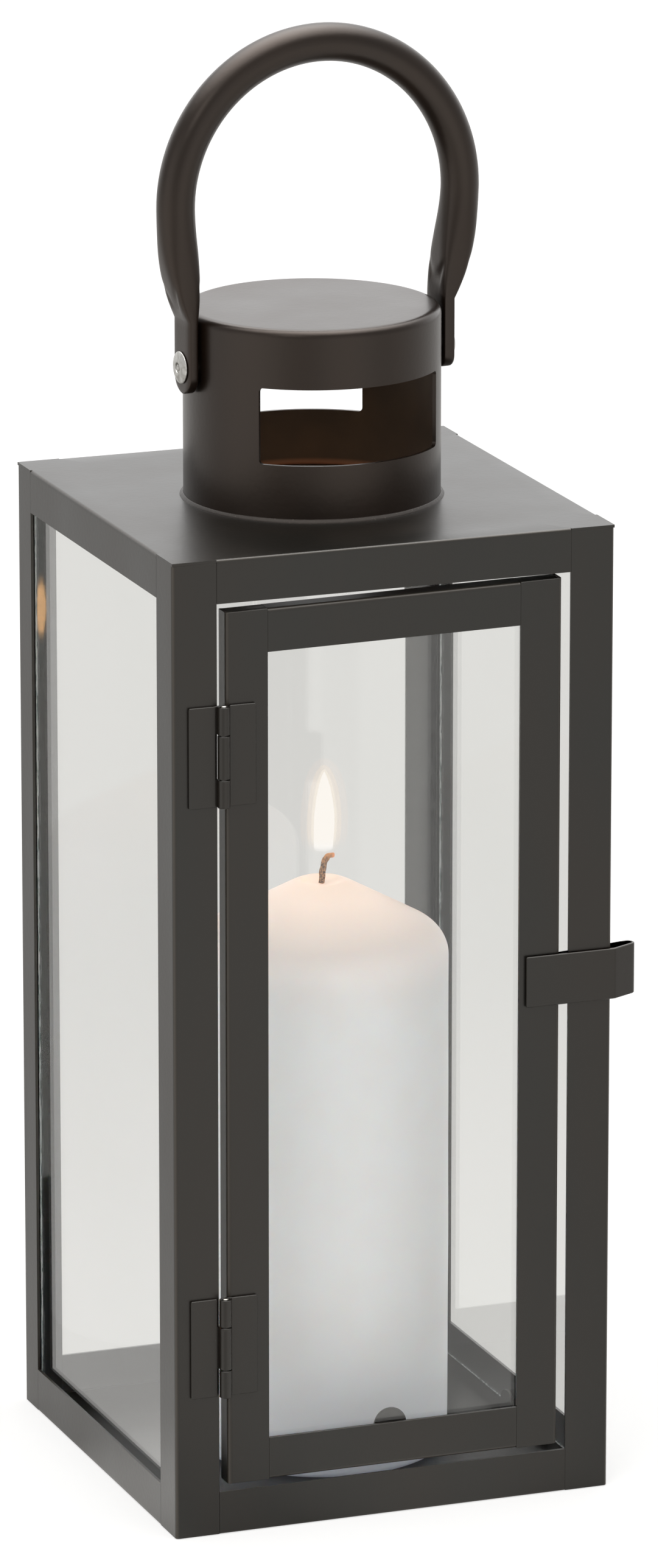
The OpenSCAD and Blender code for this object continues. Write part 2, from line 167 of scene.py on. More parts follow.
def facing_out(points, faces):
    """True where the sum of the faces' signed cone volumes, p0 . (p1 x p2) / 6, is positive."""
    total = 0.0
    sizes = np.array([len(face) for face in faces])
    for size in np.unique(sizes):
        picked = points[np.array([face for face in faces if len(face) == size])]
        for k in range(1, size - 1):
            total += np.einsum("ij,ij->", picked[:, 0], np.cross(picked[:, k], picked[:, k + 1]))
    return total > 0


def shell(points, faces, worn=None, slots=None):
    """A shell with its faces turned to point outwards, and without points that no face uses."""
    points = np.asarray(points, float).reshape(-1, 3)
    worn = np.zeros(len(points)) if worn is None else np.asarray(worn, float).ravel()
    slots = [0] * len(faces) if slots is None else list(slots)
    used, order = np.unique(np.concatenate([np.asarray(face) for face in faces]), return_inverse=True)
    ends = np.cumsum([len(face) for face in faces])
    faces = [part.tolist() for part in np.split(order.ravel(), ends[:-1])]
    points, worn = points[used], worn[used]
    if not facing_out(points, faces):
        faces = [face[::-1] for face in faces]
    return points, faces, worn, slots


def grid_faces(rows, columns, wrap_rows=False, wrap_columns=True, keep=None):
    """Quads of a grid of points: row r and column c meet row r + 1 and column c + 1."""
    r, c = np.meshgrid(
        np.arange(rows if wrap_rows else rows - 1),
        np.arange(columns if wrap_columns else columns - 1),
        indexing="ij",
    )
    if keep is not None:
        r, c = r[keep], c[keep]
    r, c = r.ravel(), c.ravel()
    r2, c2 = (r + 1) % rows, (c + 1) % columns
    return np.stack([r * columns + c, r * columns + c2, r2 * columns + c2, r2 * columns + c], 1)


def ringed(rings, worn=None, slots=None):
    """A closed shell from a stack of rings (rows, columns, 3), with a flat face over each end."""
    rows, columns = rings.shape[:2]
    faces = grid_faces(rows, columns).tolist()
    # The first end face is wound against its ring's own sense, so that all faces point one way.
    faces.append(list(range(columns))[::-1])
    faces.append(list(range((rows - 1) * columns, rows * columns)))
    if slots is not None:
        slots = [slots[0]] * (len(faces) - 2) + [slots[1]] * 2
    return shell(rings.reshape(-1, 3), faces, worn, slots)


def looped(rings):
    """A closed shell from rings (rows, columns, 3) whose last row meets its first."""
    rows, columns = rings.shape[:2]
    return shell(rings.reshape(-1, 3), grid_faces(rows, columns, wrap_rows=True))


def walled(outer, inner, keep, worn=None, capped=(False, True), slots=(0, 0)):
    """A wall between two grids (rows, columns, 3) that wrap round: both skins where keep is true,
    a rim at every edge between a kept cell and a missing one, and a flat face over the first or
    last row where it is capped. The inner skin takes the second material slot."""
    rows, columns = outer.shape[:2]
    n = rows * columns
    skin = grid_faces(rows, columns, keep=keep)
    faces = [*skin.tolist(), *(skin[:, ::-1] + n).tolist()]
    kinds = [slots[0]] * len(skin) + [slots[1]] * len(skin)
    blank = np.zeros((1, columns), bool)
    above = np.vstack([keep[1:], ~blank if capped[1] else blank])
    below = np.vstack([~blank if capped[0] else blank, keep[:-1]])
    for edge, corners in (
        (keep & ~np.roll(keep, -1, 1), ((1, 1), (0, 1))),
        (keep & ~np.roll(keep, 1, 1), ((0, 0), (1, 0))),
        (keep & ~above, ((1, 0), (1, 1))),
        (keep & ~below, ((0, 1), (0, 0))),
    ):
        r, c = np.nonzero(edge)
        a, b = ((r + dr) * columns + (c + dc) % columns for dr, dc in corners)
        rim = np.stack([a, b, b + n, a + n], 1).tolist()
        faces += rim
        kinds += [slots[0]] * len(rim)
    first = list(range(columns))
    last = list(range(n - columns, n))
    if capped[0]:
        faces += [first[::-1], [k + n for k in first]]
        kinds += [slots[0], slots[1]]
    if capped[1]:
        faces += [last, [k + n for k in last[::-1]]]
        kinds += [slots[0], slots[1]]
    points = np.concatenate([outer.reshape(-1, 3), inner.reshape(-1, 3)])
    return shell(points, faces, worn, kinds)


def link_object(name, data):
    """A new object in the scene, made of a mesh, a lamp or a camera."""
    thing = bpy.data.objects.new(name, data)
    bpy.context.scene.collection.objects.link(thing)
    return thing


def make_piece(name, shells, materials, body, nodes=(), sharp=38.0):
    """One object from its shells, smooth but for edges sharper than the angle. It rides on its body,
    or, where the body is given as (body, body, start, end), stays in place unattached."""
    points, parts, worn, slots = zip(*shells)
    starts = np.cumsum([0] + [len(part) for part in points[:-1]])
    faces = [[k + start for k in face] for part, start in zip(parts, starts.tolist()) for face in part]
    mesh = bpy.data.meshes.new(name)
    mesh.from_pydata((np.concatenate(points) * MM).tolist(), [], faces)
    attribute = mesh.attributes.new("worn", "FLOAT", "POINT")
    attribute.data.foreach_set("value", np.concatenate(worn).astype(np.float32))
    for material in materials:
        mesh.materials.append(material)
    mesh.polygons.foreach_set("material_index", sum(slots, []))
    mesh.polygons.foreach_set("use_smooth", np.ones(len(faces), bool))
    mesh.set_sharp_from_angle(angle=math.radians(sharp))
    mesh.validate(verbose=False)
    mesh.update()
    piece = link_object(name, mesh)
    if isinstance(body, str):
        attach(piece, body)
    else:
        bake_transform(piece)
    if nodes:
        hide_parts(*nodes)
    return piece


# ---- strips and prisms -------------------------------------------------------


def rounded_path(corners, radii, steps=7, support=0.25):
    """A path through the corners with an arc of the given radius in each inner one. An arc starts
    r * tan(turn / 2) before its corner, and a point more on each side keeps the flats flat."""
    corners = np.asarray(corners, float)
    path = [corners[:1]]
    worn = [np.zeros(1)]
    for p, q, r, radius in zip(corners[:-2], corners[1:-1], corners[2:], radii):
        into = (q - p) / np.linalg.norm(q - p)
        out = (r - q) / np.linalg.norm(r - q)
        turn = math.atan2(into[0] * out[1] - into[1] * out[0], into @ out)
        reach = radius * math.tan(abs(turn) / 2)
        start = q - into * reach
        side = math.copysign(1.0, turn) * np.array([-into[1], into[0]])
        centre = start + side * radius
        angle = np.linspace(0, turn, steps + 1)[:, None]
        spoke = start - centre
        arc = centre + spoke * np.cos(angle) + np.array([-spoke[1], spoke[0]]) * np.sin(angle)
        path += [start[None] - into * support, arc, arc[-1:] + out * support]
        # Each arc is marked worn, palest in its middle: worn coat and a painted highlight along the fold.
        worn += [np.zeros(1), 0.7 * np.sin(np.linspace(0, np.pi, steps + 1)) ** 2, np.zeros(1)]
    path.append(corners[-1:])
    worn.append(np.zeros(1))
    return np.concatenate(path), np.concatenate(worn)


def strip_outline(path, thickness, worn, cut=0.07):
    """Closed outline of a strip: the path moved half the thickness to either side along its mitred
    normal. Both ends are sheared square half a thickness past the path, with their corners broken."""
    half = thickness / 2
    step = np.diff(path, axis=0)
    step /= np.linalg.norm(step, axis=1)[:, None]
    normal = np.stack([-step[:, 1], step[:, 0]], 1)
    joined = np.vstack([normal[:1], normal[:-1] + normal[1:], normal[-1:]])
    joined[1:-1] /= (1 + np.sum(normal[:-1] * normal[1:], 1))[:, None]
    near, far = path + joined * half, path - joined * half
    ends = []
    shape = np.array([(half - cut, half), (half, half - cut), (half, cut - half), (half - cut, -half)])
    for point, direction, across in (
        (path[-1], step[-1], normal[-1]),
        (path[0], -step[0], -normal[0]),
    ):
        ends.append(point + shape[:, :1] * direction + shape[:, 1:] * across)
    outline = np.concatenate([near, ends[0], far[::-1], ends[1]])
    edge = np.array([0.0, 0.2, 0.2, 0.0])
    return outline, np.concatenate([worn, edge, worn[::-1], edge])


def inset(outline, amount):
    """The outline moved inwards by an amount along the mean normal of its two sides."""
    step = np.roll(outline, -1, 0) - outline
    step /= np.maximum(np.linalg.norm(step, axis=1), 1e-9)[:, None]
    normal = np.stack([step[:, 1], -step[:, 0]], 1)
    normal = normal + np.roll(normal, 1, 0)
    normal /= np.maximum(np.linalg.norm(normal, axis=1), 1e-9)[:, None]
    x, y = outline.T
    area = np.sum(x * np.roll(y, -1) - y * np.roll(x, -1))
    return outline - math.copysign(amount, area) * normal


def prism(outline, low, high, axis, chamfer=0.12, worn=None, slots=None, end_worn=0.0):
    """The outline carried along an axis from low to high, with a chamfer at both ends. The outline's
    two numbers are the other two axes in their order."""
    levels = [low, low + chamfer, low + chamfer + 0.2]
    levels += [high - chamfer - 0.2, high - chamfer, high]
    small = inset(outline, chamfer)
    rings = []
    for k, level in enumerate(levels):
        flat = small if k in (0, 5) else outline
        rings.append(np.insert(flat, axis, level, axis=1))
    if worn is None:
        worn = np.zeros(len(outline))
    weights = np.stack([np.maximum(worn, end_worn if k in (0, 5) else 0.0) for k in range(6)])
    return ringed(np.array(rings), weights, slots)


def folded(corners, radii, thickness, low, high, axis, chamfer=0.07):
    """A folded strip of sheet: its centre line through the corners, carried along an axis."""
    path, worn = rounded_path(corners, radii)
    outline, worn = strip_outline(path, thickness, worn)
    return prism(outline, low, high, axis, chamfer, worn, end_worn=0.25)


def rounded_rectangle(low, high, radius, steps=3):
    """Outline of a rectangle from its low to its high corner, with quarter circles in its corners."""
    corners = [(high[0], high[1]), (low[0], high[1]), (low[0], low[1]), (high[0], low[1])]
    points = []
    for k, (x, y) in enumerate(corners):
        cx = x - radius if x == high[0] else x + radius
        cy = y - radius if y == high[1] else y + radius
        angle = np.linspace(k * np.pi / 2, (k + 1) * np.pi / 2, steps + 1)
        points.append(np.stack([cx + radius * np.cos(angle), cy + radius * np.sin(angle)], 1))
    return np.concatenate(points)


def lathe(profile, segments, centre=(0.0, 0.0), uneven=None):
    """A profile of (radius, height) pairs turned about the upright axis through centre:
    x = cx + r cos a, y = cy + r sin a. uneven(angle, height) is added to the radius, with less and
    less of it over the 4 mm next to the axis."""
    profile = np.asarray(profile, float)
    angle = full_turn(segments)
    r = np.repeat(profile[:, :1], segments, 1)
    z = np.repeat(profile[:, 1:], segments, 1)
    if uneven is not None:
        r = r + uneven(angle[None, :], z) * np.minimum(1, r / 4)
    return ringed(np.stack([centre[0] + r * np.cos(angle), centre[1] + r * np.sin(angle), z], -1))


def full_turn(count):
    """Even angles round a full turn, without its end."""
    return np.linspace(0, 2 * np.pi, count, endpoint=False)


def arc_points(centre, radius, start, end, steps):
    """Points on an arc: centre + radius (cos a, sin a), with a in degrees from start to end."""
    angle = np.radians(np.linspace(start, end, steps + 1))
    return np.stack([centre[0] + radius * np.cos(angle), centre[1] + radius * np.sin(angle)], 1)


def moved(part, place):
    """A shell whose points x, y, z go to place(x, y, z)."""
    points, faces, worn, slots = part
    return np.stack(place(*points.T), 1), faces, worn, slots


def turned(part, angle, lift=0.0):
    """A shell turned about the upright axis and lifted."""
    c, s = math.cos(angle), math.sin(angle)
    return moved(part, lambda x, y, z: (c * x - s * y, s * x + c * y, z + lift))


def mirrored(part, middle):
    """A shell mirrored across the upright plane x = middle, its faces turned to point outwards again."""
    points, faces, worn, slots = moved(part, lambda x, y, z: (2 * middle - x, y, z))
    return points, [face[::-1] for face in faces], worn, slots


# ---- materials ---------------------------------------------------------------


def add(tree, kind, values=(), output=0):
    """Adds a node and gives back one of its outputs, or all of them for None. A value goes to the
    node's setting of that name or else to its input of that name or number, by a link where the
    value is an output."""
    node = tree.nodes.new("ShaderNode" + kind)
    for key, value in dict(values).items():
        if isinstance(key, str) and hasattr(node, key):
            setattr(node, key, value)
        elif isinstance(value, bpy.types.NodeSocket):
            tree.links.new(value, node.inputs[key])
        else:
            node.inputs[key].default_value = value
    return node.outputs if output is None else node.outputs[output]


def noise(tree, point, size, detail, rough=0.5):
    """Noise whose patches are about size metres across."""
    values = {"Vector": point, "Scale": 1 / size, "Detail": detail, "Roughness": rough}
    return add(tree, "TexNoise", values)


def ramp(tree, value, start, end, low=0.0, high=1.0, kind="LINEAR"):
    """A number that goes from low to high while the value goes from start to end, and then stays."""
    values = {"Value": value, "From Min": start, "From Max": end, "To Min": low, "To Max": high}
    return add(tree, "MapRange", {**values, "interpolation_type": kind})


def mixed(tree, share, first, second, kind="RGBA"):
    """The first colour, or number for the kind FLOAT, passing to the second by the share."""
    a, b, result = (6, 7, 2) if kind == "RGBA" else (2, 3, 0)
    return add(tree, "Mix", {"data_type": kind, 0: share, a: first, b: second}, result)


def start_material(name):
    """A new material of that name, its node tree, cleared, and in it the point on the piece."""
    material = bpy.data.materials.new(name)
    material.use_nodes = True
    tree = material.node_tree
    tree.nodes.clear()
    return material, tree, add(tree, "TexCoord", output="Object")


def finish_material(material, values):
    """The material, with one Principled shader of the given values on its surface."""
    tree = material.node_tree
    add(tree, "OutputMaterial", {"Surface": add(tree, "BsdfPrincipled", values)}, None)
    return material


def powder_coat(name, colour, mottle, edge, rough, level, tint):
    """Satin powder coat on folded mild steel, sprayed as powder and baked. The eye gets a near-black
    skin with a soft sheen, a faint orange peel, brownish clouds and slightly paler fold lines and edges,
    where the coat is worn thin and a highlight along each fold is painted in."""
    material, tree, point = start_material(name)
    # Clouds of uneven film are 35 mm across and drawn out down the sheet.
    tall = add(tree, "Mapping", {"Vector": point, "Scale": (1, 1, 0.45)})
    cloud = noise(tree, tall, 0.035, 3.0)
    # Wiping marks run down the sheet, 5 mm apart.
    drawn = add(tree, "Mapping", {"Vector": point, "Scale": (1, 1, 0.08)})
    streak = noise(tree, drawn, 0.005, 2.0)
    # Orange peel of a baked powder coat is 1.5 mm across. Powder grit is about 0.1 mm, and is drawn
    # at 0.35 mm, as coarse as it needs to show.
    peel = noise(tree, point, 0.0015, 1.0)
    grit = noise(tree, point, 0.00035, 2.0)
    clouded = ramp(tree, cloud, 0.4, 0.68)
    body = mixed(tree, clouded, colour, mottle)
    marked = ramp(tree, streak, 0.55, 0.8, high=0.4)
    body = mixed(tree, marked, body, mottle)
    # Folds and cut edges take the paler edge colour: worn coat, and a painted highlight along the folds.
    worn = add(tree, "Attribute", {"attribute_name": "worn"}, "Fac")
    body = mixed(tree, worn, body, edge)
    low, high = rough
    dull = ramp(tree, cloud, 0.3, 0.7, low, high)
    fine = add(tree, "Bump", {"Strength": 0.3, "Distance": 0.00002, "Height": grit})
    bump = add(tree, "Bump", {"Strength": 0.5, "Distance": 0.00004, "Height": peel, "Normal": fine})
    values = {"Base Color": body, "Roughness": dull, "Normal": bump}
    values |= {"IOR": 1.5, "Specular IOR Level": level, "Specular Tint": tint}
    return finish_material(material, values)


def thin_overspray(colour, bare, foot):
    """The chimney's inner face, which the spray hardly reaches. The eye gets a smooth dull brown skin,
    the dark coat thinning over steel, and a painted rust-coloured band of the flame's light along its foot."""
    material, tree, point = start_material("thin_overspray_on_steel")
    # Patches of thinner spray are 14 mm across, and the tube's own draw lines are too faint to show.
    patch = noise(tree, point, 0.014, 2.0)
    share = ramp(tree, patch, 0.4, 0.75, high=0.5)
    body = mixed(tree, share, colour, bare)
    # The flame's light that comes up through the vent hole is painted as a rust-coloured band on the lowest
    # 1.4 mm of the wall, just above the vent hole.
    height = add(tree, "SeparateXYZ", {"Vector": point}, "Z")
    tint = ramp(tree, height, foot * MM, (foot + 1.4) * MM, 1.0, 0.0)
    body = mixed(tree, tint, body, hex_colour("#735039"))
    grain = noise(tree, point, 0.0012, 2.0)
    bump = add(tree, "Bump", {"Strength": 0.2, "Distance": 0.00003, "Height": grain})
    values = {"Base Color": body, "Roughness": 0.6, "IOR": 1.5, "Normal": bump}
    values |= {"Specular IOR Level": 0.25, "Specular Tint": (1, 0.82, 0.66, 1)}
    return finish_material(material, values)


def float_glass():
    """Clear float glass, 2 mm, drawn flat on molten tin. The eye sees straight through it, with the
    background a touch greyer and mirror strips of the frame at a slant."""
    material, tree, point = start_material("clear_float_glass")
    # Float glass has only a faint draw wave, about 60 mm long.
    wave = noise(tree, point, 0.06, 0.0)
    clear, tinted = hex_colour("#FEFEFE"), hex_colour("#FBFCFB")
    tint = mixed(tree, wave, clear, tinted)
    values = {"Base Color": tint, "Roughness": 0.0, "IOR": 1.5, "Transmission Weight": 1.0}
    return finish_material(material, values)


def ground_edge():
    """The cut and seamed edge of float glass, ground with a belt. The eye gets a bright, uneven line
    of frosted glass with a greenish cast and clear chips."""
    material, tree, point = start_material("ground_glass_edge")
    # Chips along a cut edge are 0.5 to 3 mm long.
    drawn = add(tree, "Mapping", {"Vector": point, "Scale": (1, 1, 0.25)})
    chip = noise(tree, drawn, 0.0012, 4.0, rough=0.65)
    share = ramp(tree, chip, 0.4, 0.6)
    deep, frosted = hex_colour("#7C908C"), hex_colour("#F4F7F5")
    colour = mixed(tree, share, deep, frosted)
    dull = ramp(tree, chip, 0.35, 0.7, 0.12, 0.5)
    bump = add(tree, "Bump", {"Strength": 0.8, "Distance": 0.0003, "Height": chip})
    values = {"Base Color": colour, "Roughness": dull, "Normal": bump}
    return finish_material(material, {**values, "IOR": 1.5, "Transmission Weight": 0.35})


def formed_metal(name, light, dark, rough, lines):
    """Bare metal headed or drawn in a die. The eye gets a pale metal with fine draw lines, small
    dents and a duller skin in patches."""
    material, tree, point = start_material(name)
    drawn = add(tree, "Mapping", {"Vector": point, "Scale": (0.2, 1, 1)})
    fine = noise(tree, drawn, lines, 3.0)
    # The oxide skin is patchy at 1.6 mm.
    skin = noise(tree, point, 0.0016, 3.0)
    share = ramp(tree, skin, 0.45, 0.75)
    colour = mixed(tree, share, light, dark)
    low, high = rough
    dull = ramp(tree, skin, 0.3, 0.7, low, high)
    bump = add(tree, "Bump", {"Strength": 0.4, "Distance": 0.00004, "Height": fine})
    values = {"Base Color": colour, "Roughness": dull, "Normal": bump}
    return finish_material(material, {**values, "Metallic": 1.0})


def weld_metal(colour):
    """A mild-steel weld run, sprayed over with the same coat. The eye gets a soft dark fillet, hardly
    lumpy, with a few small pale flecks, which are spatter and painted glints."""
    material, tree, point = start_material("coated_weld_bead")
    # Weld ripples are about 1.2 mm apart, and the pale flecks of spatter and painted glints are about 0.8 mm
    # across.
    ripple = noise(tree, point, 0.0012, 2.0)
    spatter_and_glint = noise(tree, point, 0.0008, 1.0)
    share = ramp(tree, spatter_and_glint, 0.66, 0.76, high=0.4)
    body = mixed(tree, share, colour, hex_colour("#6E675E"))
    bump = add(tree, "Bump", {"Strength": 0.3, "Distance": 0.0001, "Height": ripple})
    values = {"Base Color": body, "Roughness": 0.42, "Normal": bump, "IOR": 1.5}
    values |= {"Specular IOR Level": 0.28, "Specular Tint": (1, 0.9, 0.82, 1)}
    return finish_material(material, values)


def pillar_wax(cool, lit, flame_foot):
    """Moulded paraffin wax, with its flame's light painted in. The eye gets a smooth, slightly greasy ivory
    body whose shoulder has a painted warm colour and painted glow of the flame's light round the wick, and
    turns cool and matt lower down."""
    material, tree, point = start_material("moulded_paraffin_wax")
    foot = tuple(v * MM for v in flame_foot)
    away = add(tree, "VectorMath", {"operation": "DISTANCE", 0: point, 1: foot}, "Value")
    # The painted warm colour of the flame's light fades over the first 50 mm from the flame, and cast wax is
    # mottled at 12 mm.
    mottle = noise(tree, point, 0.012, 3.0)
    near = ramp(tree, away, 0.008, 0.05, 1.0, 0.0)
    body = mixed(tree, near, cool, lit)
    share = ramp(tree, mottle, 0.4, 0.7, high=0.2)
    body = mixed(tree, share, body, hex_colour("#ECE4DF"))
    dull = ramp(tree, mottle, 0.3, 0.7, 0.36, 0.5)
    # The painted glow of the flame's light, given as emission, fades between 16 and 45 mm from the flame.
    # The foot of the candle has a little painted glow of cool light from the ground.
    painted_flame_glow = ramp(tree, away, 0.016, 0.045, 0.42, 0.0)
    height = add(tree, "SeparateXYZ", {"Vector": point}, "Z")
    painted_ground_glow = ramp(tree, height, 0.04, 0.004, 0.0, 0.13)
    glow = {"operation": "ADD", 0: painted_flame_glow, 1: painted_ground_glow}
    # That painted glow is warm up to 45 mm from the flame, and the ground's is cool.
    warm = ramp(tree, away, 0.045, 0.06, 1.0, 0.0)
    tone = mixed(tree, warm, hex_colour("#E6EEFF"), hex_colour("#FFE1CD"))
    # The mould's skin has small pits 3 mm apart.
    skin = noise(tree, point, 0.003, 2.0)
    bump = add(tree, "Bump", {"Strength": 0.25, "Distance": 0.00005, "Height": skin})
    values = {"Base Color": body, "Roughness": dull, "Normal": bump}
    values |= {"IOR": 1.43, "Subsurface Weight": 0.3, "Subsurface Radius": (1.0, 0.62, 0.4)}
    values |= {"Subsurface Scale": 0.005, "Emission Color": tone}
    return finish_material(material, {**values, "Emission Strength": add(tree, "Math", glow)})


def charred_cotton():
    """Braided cotton wick, charred above the wax. The eye gets a brown and tan cord with a woven
    ridge, paler towards its end with ash and painted flame light, and a glowing tip."""
    material, tree, point = start_material("charred_cotton_braid")
    along = add(tree, "Attribute", {"attribute_name": "worn"}, "Fac")
    # The braid's plaits are 0.5 mm apart.
    braid = noise(tree, point, 0.0005, 2.0)
    share = ramp(tree, braid, 0.38, 0.62)
    char, ash = hex_colour("#33231A"), hex_colour("#B58A62")
    body = mixed(tree, share, char, ash)
    # Towards its end the cord turns tan: ash, and the flame's light painted on it.
    tan = ramp(tree, along, 0.4, 0.8, high=0.8)
    body = mixed(tree, tan, body, hex_colour("#C08A5A"))
    ember = ramp(tree, along, 0.78, 1.0, high=0.5)
    bump = add(tree, "Bump", {"Strength": 0.8, "Distance": 0.0002, "Height": braid})
    values = {"Base Color": body, "Roughness": 0.9, "Emission Color": hex_colour("#FF9C78")}
    values |= {"Emission Strength": ember, "Normal": bump}
    return finish_material(material, values)


def glowing_gas(name, colour, strength, alpha, low, high):
    """Burning wax vapour: one layer of the flame. The eye gets light without a surface, clear up to the
    low height and covering what is behind it by alpha from the high one up."""
    material, tree, point = start_material(name)
    height = add(tree, "SeparateXYZ", {"Vector": point}, "Z")
    rise = ramp(tree, height, low * MM, high * MM, high=alpha, kind="SMOOTHSTEP")
    values = {"Base Color": (0.0, 0.0, 0.0, 1.0), "Roughness": 1.0, "Specular IOR Level": 0.0}
    values |= {"Emission Color": colour, "Emission Strength": strength}
    return finish_material(material, {**values, "Alpha": rise})


def pick(name, make, *values):
    """The material of that name, made the first time that it is asked for."""
    return bpy.data.materials.get(name) or make(*values)


def body_coat():
    """The powder coat of the body: frame, door, clips, hinges and latch."""
    name = "satin_powder_coat"
    colour = bpy.context.scene.lantern_colours.paint[:]
    # The second tone is the paler colour of worn folds and edges, which also paints the folds' highlight.
    tones = hex_colour("#1E1914"), hex_colour("#4C463F")
    return pick(name, powder_coat, name, colour, *tones, (0.29, 0.36), 0.5, (1, 0.98, 0.94, 1))


def top_coat():
    """The browner powder coat of the chimney and the handle, which are sprayed as a set."""
    name = "satin_powder_coat_brown"
    colour = bpy.context.scene.lantern_colours.top_paint[:]
    # The second tone is the paler colour of worn folds and edges, which also paints the folds' highlight.
    tones = hex_colour("#1C120B"), hex_colour("#4C4238")
    return pick(name, powder_coat, name, colour, *tones, (0.28, 0.35), 0.5, (1, 0.86, 0.77, 1))


def window_glass():
    """The glass of every pane: clear on its faces, and ground along its edge."""
    return [pick("clear_float_glass", float_glass), pick("ground_glass_edge", ground_edge)]


# ---- frame -------------------------------------------------------------------


def rim_columns(side, front, back, rear, slit=0.04):
    """Stations round the square body: side number, place along the side and whether the skirt hangs
    there. side is half the body's width. A skirt runs between two corner posts' legs, and stops a
    slit short of each. front, back and rear are the widths of the front posts' legs and of the back
    posts' legs on the side faces and on the back face."""
    stations = []
    for number, (first, last) in enumerate(((front, back), (rear, rear), (back, front), (front, front))):
        low, high = -side + first, side - last
        flat = [-side, -side + 1.6, -side + 4.0, (-side + low) / 2, low - 0.02]
        stations += [(number, t, 0) for t in flat]
        stations += [(number, t, 1) for t in (low + slit, low + slit + 0.3)]
        stations += [(number, t, 1) for t in np.linspace(low + 4, high - 4, 14)]
        stations += [(number, t, 1) for t in (high - slit - 0.3, high - slit)]
        stations += [(number, t, 0) for t in (high + 0.02, (side + high) / 2, side - 4.0, side - 1.6)]
    return np.array(stations)


def rim_ring(stations, widths, height, circle=0.0, share=1.0):
    """A ring on the body's outline: on side k, whose outward normal is (cos 90k, sin 90k), a point is
    normal * width + tangent * t, with t kept within the width. With a share below 1 it is drawn
    towards a circle: (1 - share) circle + share square."""
    turn = np.radians(90 * stations[:, 0])
    widths = np.broadcast_to(widths, len(stations))
    t = np.clip(stations[:, 1], -widths, widths)
    x = np.cos(turn) * widths - np.sin(turn) * t
    y = np.sin(turn) * widths + np.cos(turn) * t
    angle = np.arctan2(y, x)
    x = (1 - share) * circle * np.cos(angle) + share * x
    y = (1 - share) * circle * np.sin(angle) + share * y
    return np.column_stack([x, y, np.broadcast_to(height, len(stations))])


def folded_sheet(stations, level, reach, foot, sheet, fold, corner, middle, holed):
    """A square sheet whose edges are folded over into four skirts. Its flat runs out from the middle
    rows, given as (circle radius, share) pairs, to the fold. There the skirts turn through 90 degrees:
    width = centre + r sin a, height = level - r (1 - cos a) towards the foot. At the corners the
    sheet stays flat and runs out to the given corner width, over or between the posts. A holed sheet
    is open inside its first row."""
    hangs = stations[:, 2] > 0
    down = math.copysign(1.0, foot - level)
    angle = np.radians(np.linspace(0, 90, 7))[1:]
    edge_rows = [level + down * (sheet + fold), foot - down * 0.4, foot - down * 0.1, foot]
    skins = []
    for depth in (0.0, sheet):
        radius = max(fold - depth, 0.05)
        centre = reach - depth - radius
        flat = level + down * depth
        start = np.where(hangs, centre, min(centre, corner - 0.3))
        rows = [rim_ring(stations, start, flat, circle, share) for circle, share in middle]
        for k, a in enumerate(angle):
            wide = np.where(hangs, centre + radius * math.sin(a), start + (corner - start) * (k + 1) / 6)
            tall = np.where(hangs, flat + down * radius * (1 - math.cos(a)), flat)
            rows.append(rim_ring(stations, wide, tall))
        for z in edge_rows:
            wide = np.where(hangs, centre + radius, corner)
            rows.append(rim_ring(stations, wide, np.where(hangs, z, flat)))
        skins.append(np.array(rows))
    count = len(middle)
    rows = skins[0].shape[0] - 1
    both = hangs & np.roll(hangs, -1)
    neither = ~hangs & ~np.roll(hangs, -1)
    keep = np.empty((rows, len(stations)), bool)
    keep[: count - 1] = True
    keep[count - 1 : count + 5] = both | neither
    keep[count + 5 :] = both
    worn = np.zeros(skins[0].shape[:2])
    # Paler worn rows round each fold, which also paint the fold's highlight; the skirt's cut edge and the
    # vent hole's edge are worn.
    worn[count - 1 : count + 6] = np.where(hangs, np.array([0, 0.2, 0.5, 0.7, 0.5, 0.2, 0])[:, None], 0)
    worn[-1] = 0.4
    worn[0] = 1.0 if holed else 0.0
    return walled(*skins, keep, np.stack([worn, worn * 0]), capped=(not holed, False))


def corner_post(node, sheet, fold, wider=0.0):
    """One corner post: an L of folded sheet, its centre line half a sheet inside both faces. Its leg
    that faces the front or the back can be made wider."""
    low, high = box(node)
    outer = np.where(np.abs(low[:2]) > np.abs(high[:2]), low[:2], high[:2])
    inner = np.where(np.abs(low[:2]) > np.abs(high[:2]), high[:2], low[:2])
    to_mid = -np.sign(outer) * sheet / 2
    corner = outer + to_mid
    tip = inner - to_mid - np.sign(outer) * (wider, 0.0)
    corners = [(tip[0], corner[1]), corner, (corner[0], tip[1])]
    return folded(corners, [fold - sheet / 2], sheet, low[2], high[2], 2)


